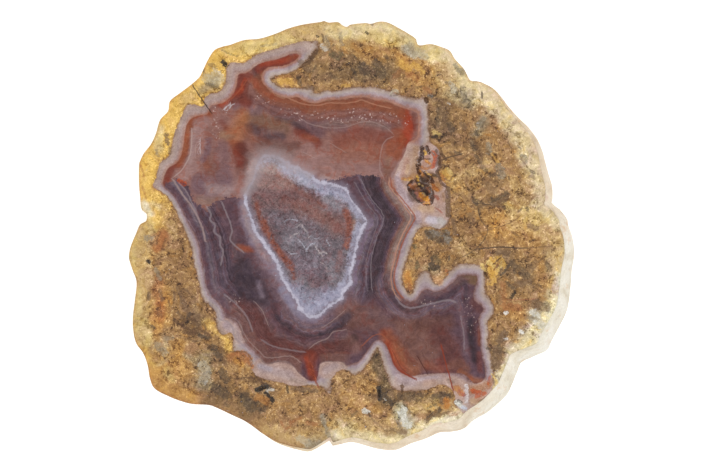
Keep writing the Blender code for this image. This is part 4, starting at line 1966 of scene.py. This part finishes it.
def polishedFace():
    material, tree, shader = newMaterial("polished agate face")
    place = placeNode(tree)
    ripple = wave(tree, place, 0.9, 3, 0.8)
    outer = fieldNode(tree, "agateDepth") + 0.05 * ripple + 0.08
    inner = fieldNode(tree, "fillDepth") - 0.05
    knob = 0.4 * (0.45 - cellNode(tree, place, 0.95))
    depth = fieldNode(tree, "crystalDepth") + knob
    warm = fieldNode(tree, "upperDepth").between(-1.0, 1.0)

    colour = matrixColour(tree, place)
    halo = outer.between(-0.6, -0.02) * wave(tree, place, 1.4, 3, 0.8, 0.0, 3.0).between(-2.0, 1.5)
    colour = multiply(tree, halo * 0.7, colour, (158, 124, 98))
    band = bandColour(tree, place, outer, inner, warm)
    colour = mixColour(tree, outer.between(-0.08, 0.08), colour, band)
    filled = inner + 0.03 * wave(tree, place, 0.6, 2, 0.8, 0.0, 5.0)
    filling = fillColour(tree, place, inner, depth)
    colour = mixColour(tree, filled.between(-0.14, 0.12), colour, filling)
    haze = splitField(tree, "crystalLook")[1]
    jagged = depth + 0.04 * wave(tree, place, 0.6, 2, 0.9, 0.0, 7.0)
    blur = 0.1 + 0.9 * haze
    centre = crystalColour(tree, place, depth)
    colour = mixColour(tree, jagged.between(0.0 - blur, blur), colour, centre)
    colour = rimLine(tree, place, colour, depth, haze)
    colour = laidMarks(tree, place, colour, "mark", 0.28)
    colour = laidMarks(tree, place, colour, "corner", 0.16)
    for name in lineSets:
        tint = fieldNode(tree, name + "Tint", "Color")
        colour = mixColour(tree, lineMask(tree, name), colour, tint)
    # painted shade: the colour is darkened and browned with the depth of the pits, the deeper the darker
    pit = fieldNode(tree, "pitDepth")
    colour = multiply(tree, pit.between(0.2, 1.4) * 0.5, colour, (120, 86, 54))
    colour = scaleColour(tree, colour, finish["faceShare"])
    wire(tree, shader.inputs["Base Color"], colour)

    broken = pit.between(0.05, 0.3)
    rough = rangeNode(outer, -0.1, 0.1, finish["rockRough"], finish["agateRough"])
    wire(tree, shader.inputs["Roughness"], rough + finish["pitRough"] * broken)
    shader.inputs["Specular IOR Level"].default_value = finish["faceShine"]
    rocky = noiseNode(tree, place, 0.4, 3.0, 0.6) * outer.between(0.1, -0.1)
    ragged = 2.0 * noiseNode(tree, place, 0.3, 3.0, 0.7) * broken
    addBump(tree, shader, rocky + ragged, finish["faceBump"], finish["faceBumpDeep"])
    return material


def roughRind():
    material, tree, shader = newMaterial("rough rind")
    place = placeNode(tree)
    x, y, _ = splitVector(tree, place)
    blotch = noiseNode(tree, place, 6.0, 5.0, 0.62, 0.5)
    grain = noiseNode(tree, place, 1.0, 5.0, 0.72)
    fine = noiseNode(tree, place, 0.35, 3.0, 0.7)
    # paler cream and chalk towards the right and lower right: partly the rind's own pale skin, partly
    # painted light that lifts the flank turned away from the lamps
    side = (x + 12.0 * (blotch - 0.5) - 0.6 * y).between(-10.0, 26.0)
    ochre = rampNode(tree, blotch, [
        (0.3, (160, 118, 70)), (0.46, (208, 168, 100)), (0.58, (228, 192, 122)), (0.72, (196, 138, 78)),
    ])
    earthy = noiseNode(tree, shifted(tree, place, 3.0, 8.0), 13.0, 4.0, 0.65, 0.6).between(0.5, 0.64)
    ochre = covered(tree, earthy * 0.6, ochre, (158, 124, 88))
    cream = rampNode(tree, blotch, [
        (0.3, (198, 170, 138)), (0.46, (226, 206, 178)), (0.6, (236, 220, 196)), (0.72, (218, 184, 160)),
    ])
    chalk = rampNode(tree, blotch, [
        (0.3, (214, 202, 178)), (0.46, (233, 225, 207)), (0.6, (243, 238, 226)), (0.72, (230, 216, 194)),
    ])
    cream = mixColour(tree, (x - 0.5 * y).between(34.0, 48.0), cream, chalk)
    colour = mixColour(tree, side, ochre, cream)
    rusty = noiseNode(tree, shifted(tree, place, 6.0, 2.0), 3.0, 5.0, 0.7).between(0.56, 0.68)
    colour = multiply(tree, rusty * 0.5, colour, (238, 196, 150))
    hollow = grain.between(0.46, 0.3) * 0.5 * (1.0 - 0.6 * side)
    colour = covered(tree, hollow, colour, (130, 94, 60))
    colour = scaleColour(tree, colour, 0.8 + 0.4 * fine)
    # painted light: the rind is lifted by its higher share to make up for its slant to the lamps
    colour = scaleColour(tree, colour, finish["rindShare"])
    wire(tree, shader.inputs["Base Color"], colour)
    shader.inputs["Roughness"].default_value = finish["rindRough"]
    shader.inputs["Specular IOR Level"].default_value = finish["rindShine"]
    addBump(tree, shader, grain + 0.5 * fine, finish["rindBump"], finish["rindBumpDeep"])
    return material


stonePiece.data.materials.append(polishedFace())
stonePiece.data.materials.append(roughRind())
print("materials ready")


# floor, light and camera
studio = {
    "floorSize": 3.0,
    "floorTone": 0.92,
    "floorRough": 0.9,
    "floorShine": 0.1,
    "floorGlow": 0.3,
    "boxHeight": 0.55,
    "boxReach": 0.42,
    "boxSize": 0.36,
    "boxCount": 6,
    "boxPower": 0.95,
    "aimHeight": 0.02,
    "worldLight": 0.35,
    "lens": 400.0,
    "sensor": 36.0,
}


def addFloor():
    sheet = bmesh.new()
    bmesh.ops.create_grid(sheet, x_segments=1, y_segments=1, size=studio["floorSize"] / 2)
    mesh = bpy.data.meshes.new("floor")
    sheet.to_mesh(mesh)
    sheet.free()
    material, _, shader = newMaterial("pale floor")
    shader.inputs["Base Color"].default_value = (*[studio["floorTone"]] * 3, 1.0)
    shader.inputs["Roughness"].default_value = studio["floorRough"]
    shader.inputs["Specular IOR Level"].default_value = studio["floorShine"]
    shader.inputs["Emission Color"].default_value = (1.0, 1.0, 1.0, 1.0)
    shader.inputs["Emission Strength"].default_value = studio["floorGlow"]
    mesh.materials.append(material)
    floor = bpy.data.objects.new("floor", mesh)
    bpy.context.scene.collection.objects.link(floor)


def addLights():
    for index in range(studio["boxCount"]):
        angle = 2 * math.pi * (index + 0.5) / studio["boxCount"]
        lamp = bpy.data.lights.new("soft box", "AREA")
        lamp.shape = "DISK"
        lamp.size = studio["boxSize"]
        lamp.energy = studio["boxPower"]
        box = bpy.data.objects.new("soft box", lamp)
        reach = studio["boxReach"]
        box.location = (reach * math.cos(angle), reach * math.sin(angle), studio["boxHeight"])
        towards = Vector((0, 0, studio["aimHeight"])) - box.location
        box.rotation_euler = towards.to_track_quat("-Z", "Y").to_euler()
        bpy.context.scene.collection.objects.link(box)
    world = bpy.data.worlds.new("pale room")
    world.use_nodes = True
    sky = world.node_tree.nodes["Background"]
    sky.inputs["Color"].default_value = (1.0, 1.0, 1.0, 1.0)
    sky.inputs["Strength"].default_value = studio["worldLight"]
    bpy.context.scene.world = world


def addCamera():
    lens = bpy.data.cameras.new("camera")
    lens.lens = studio["lens"]
    lens.sensor_width = studio["sensor"]
    camera = bpy.data.objects.new("camera", lens)
    frameWide = picture["width"] * pixel * mm
    away = frameWide * studio["lens"] / studio["sensor"]
    across = (picture["centreX"] - picture["middle"][0]) * pixel * mm
    camera.location = (across, 0, stone["faceHeight"] * mm + away)
    bpy.context.scene.collection.objects.link(camera)
    bpy.context.scene.camera = camera


addFloor()
addLights()
addCamera()
bpy.context.scene.view_settings.view_transform = "Standard"
print("stage ready")
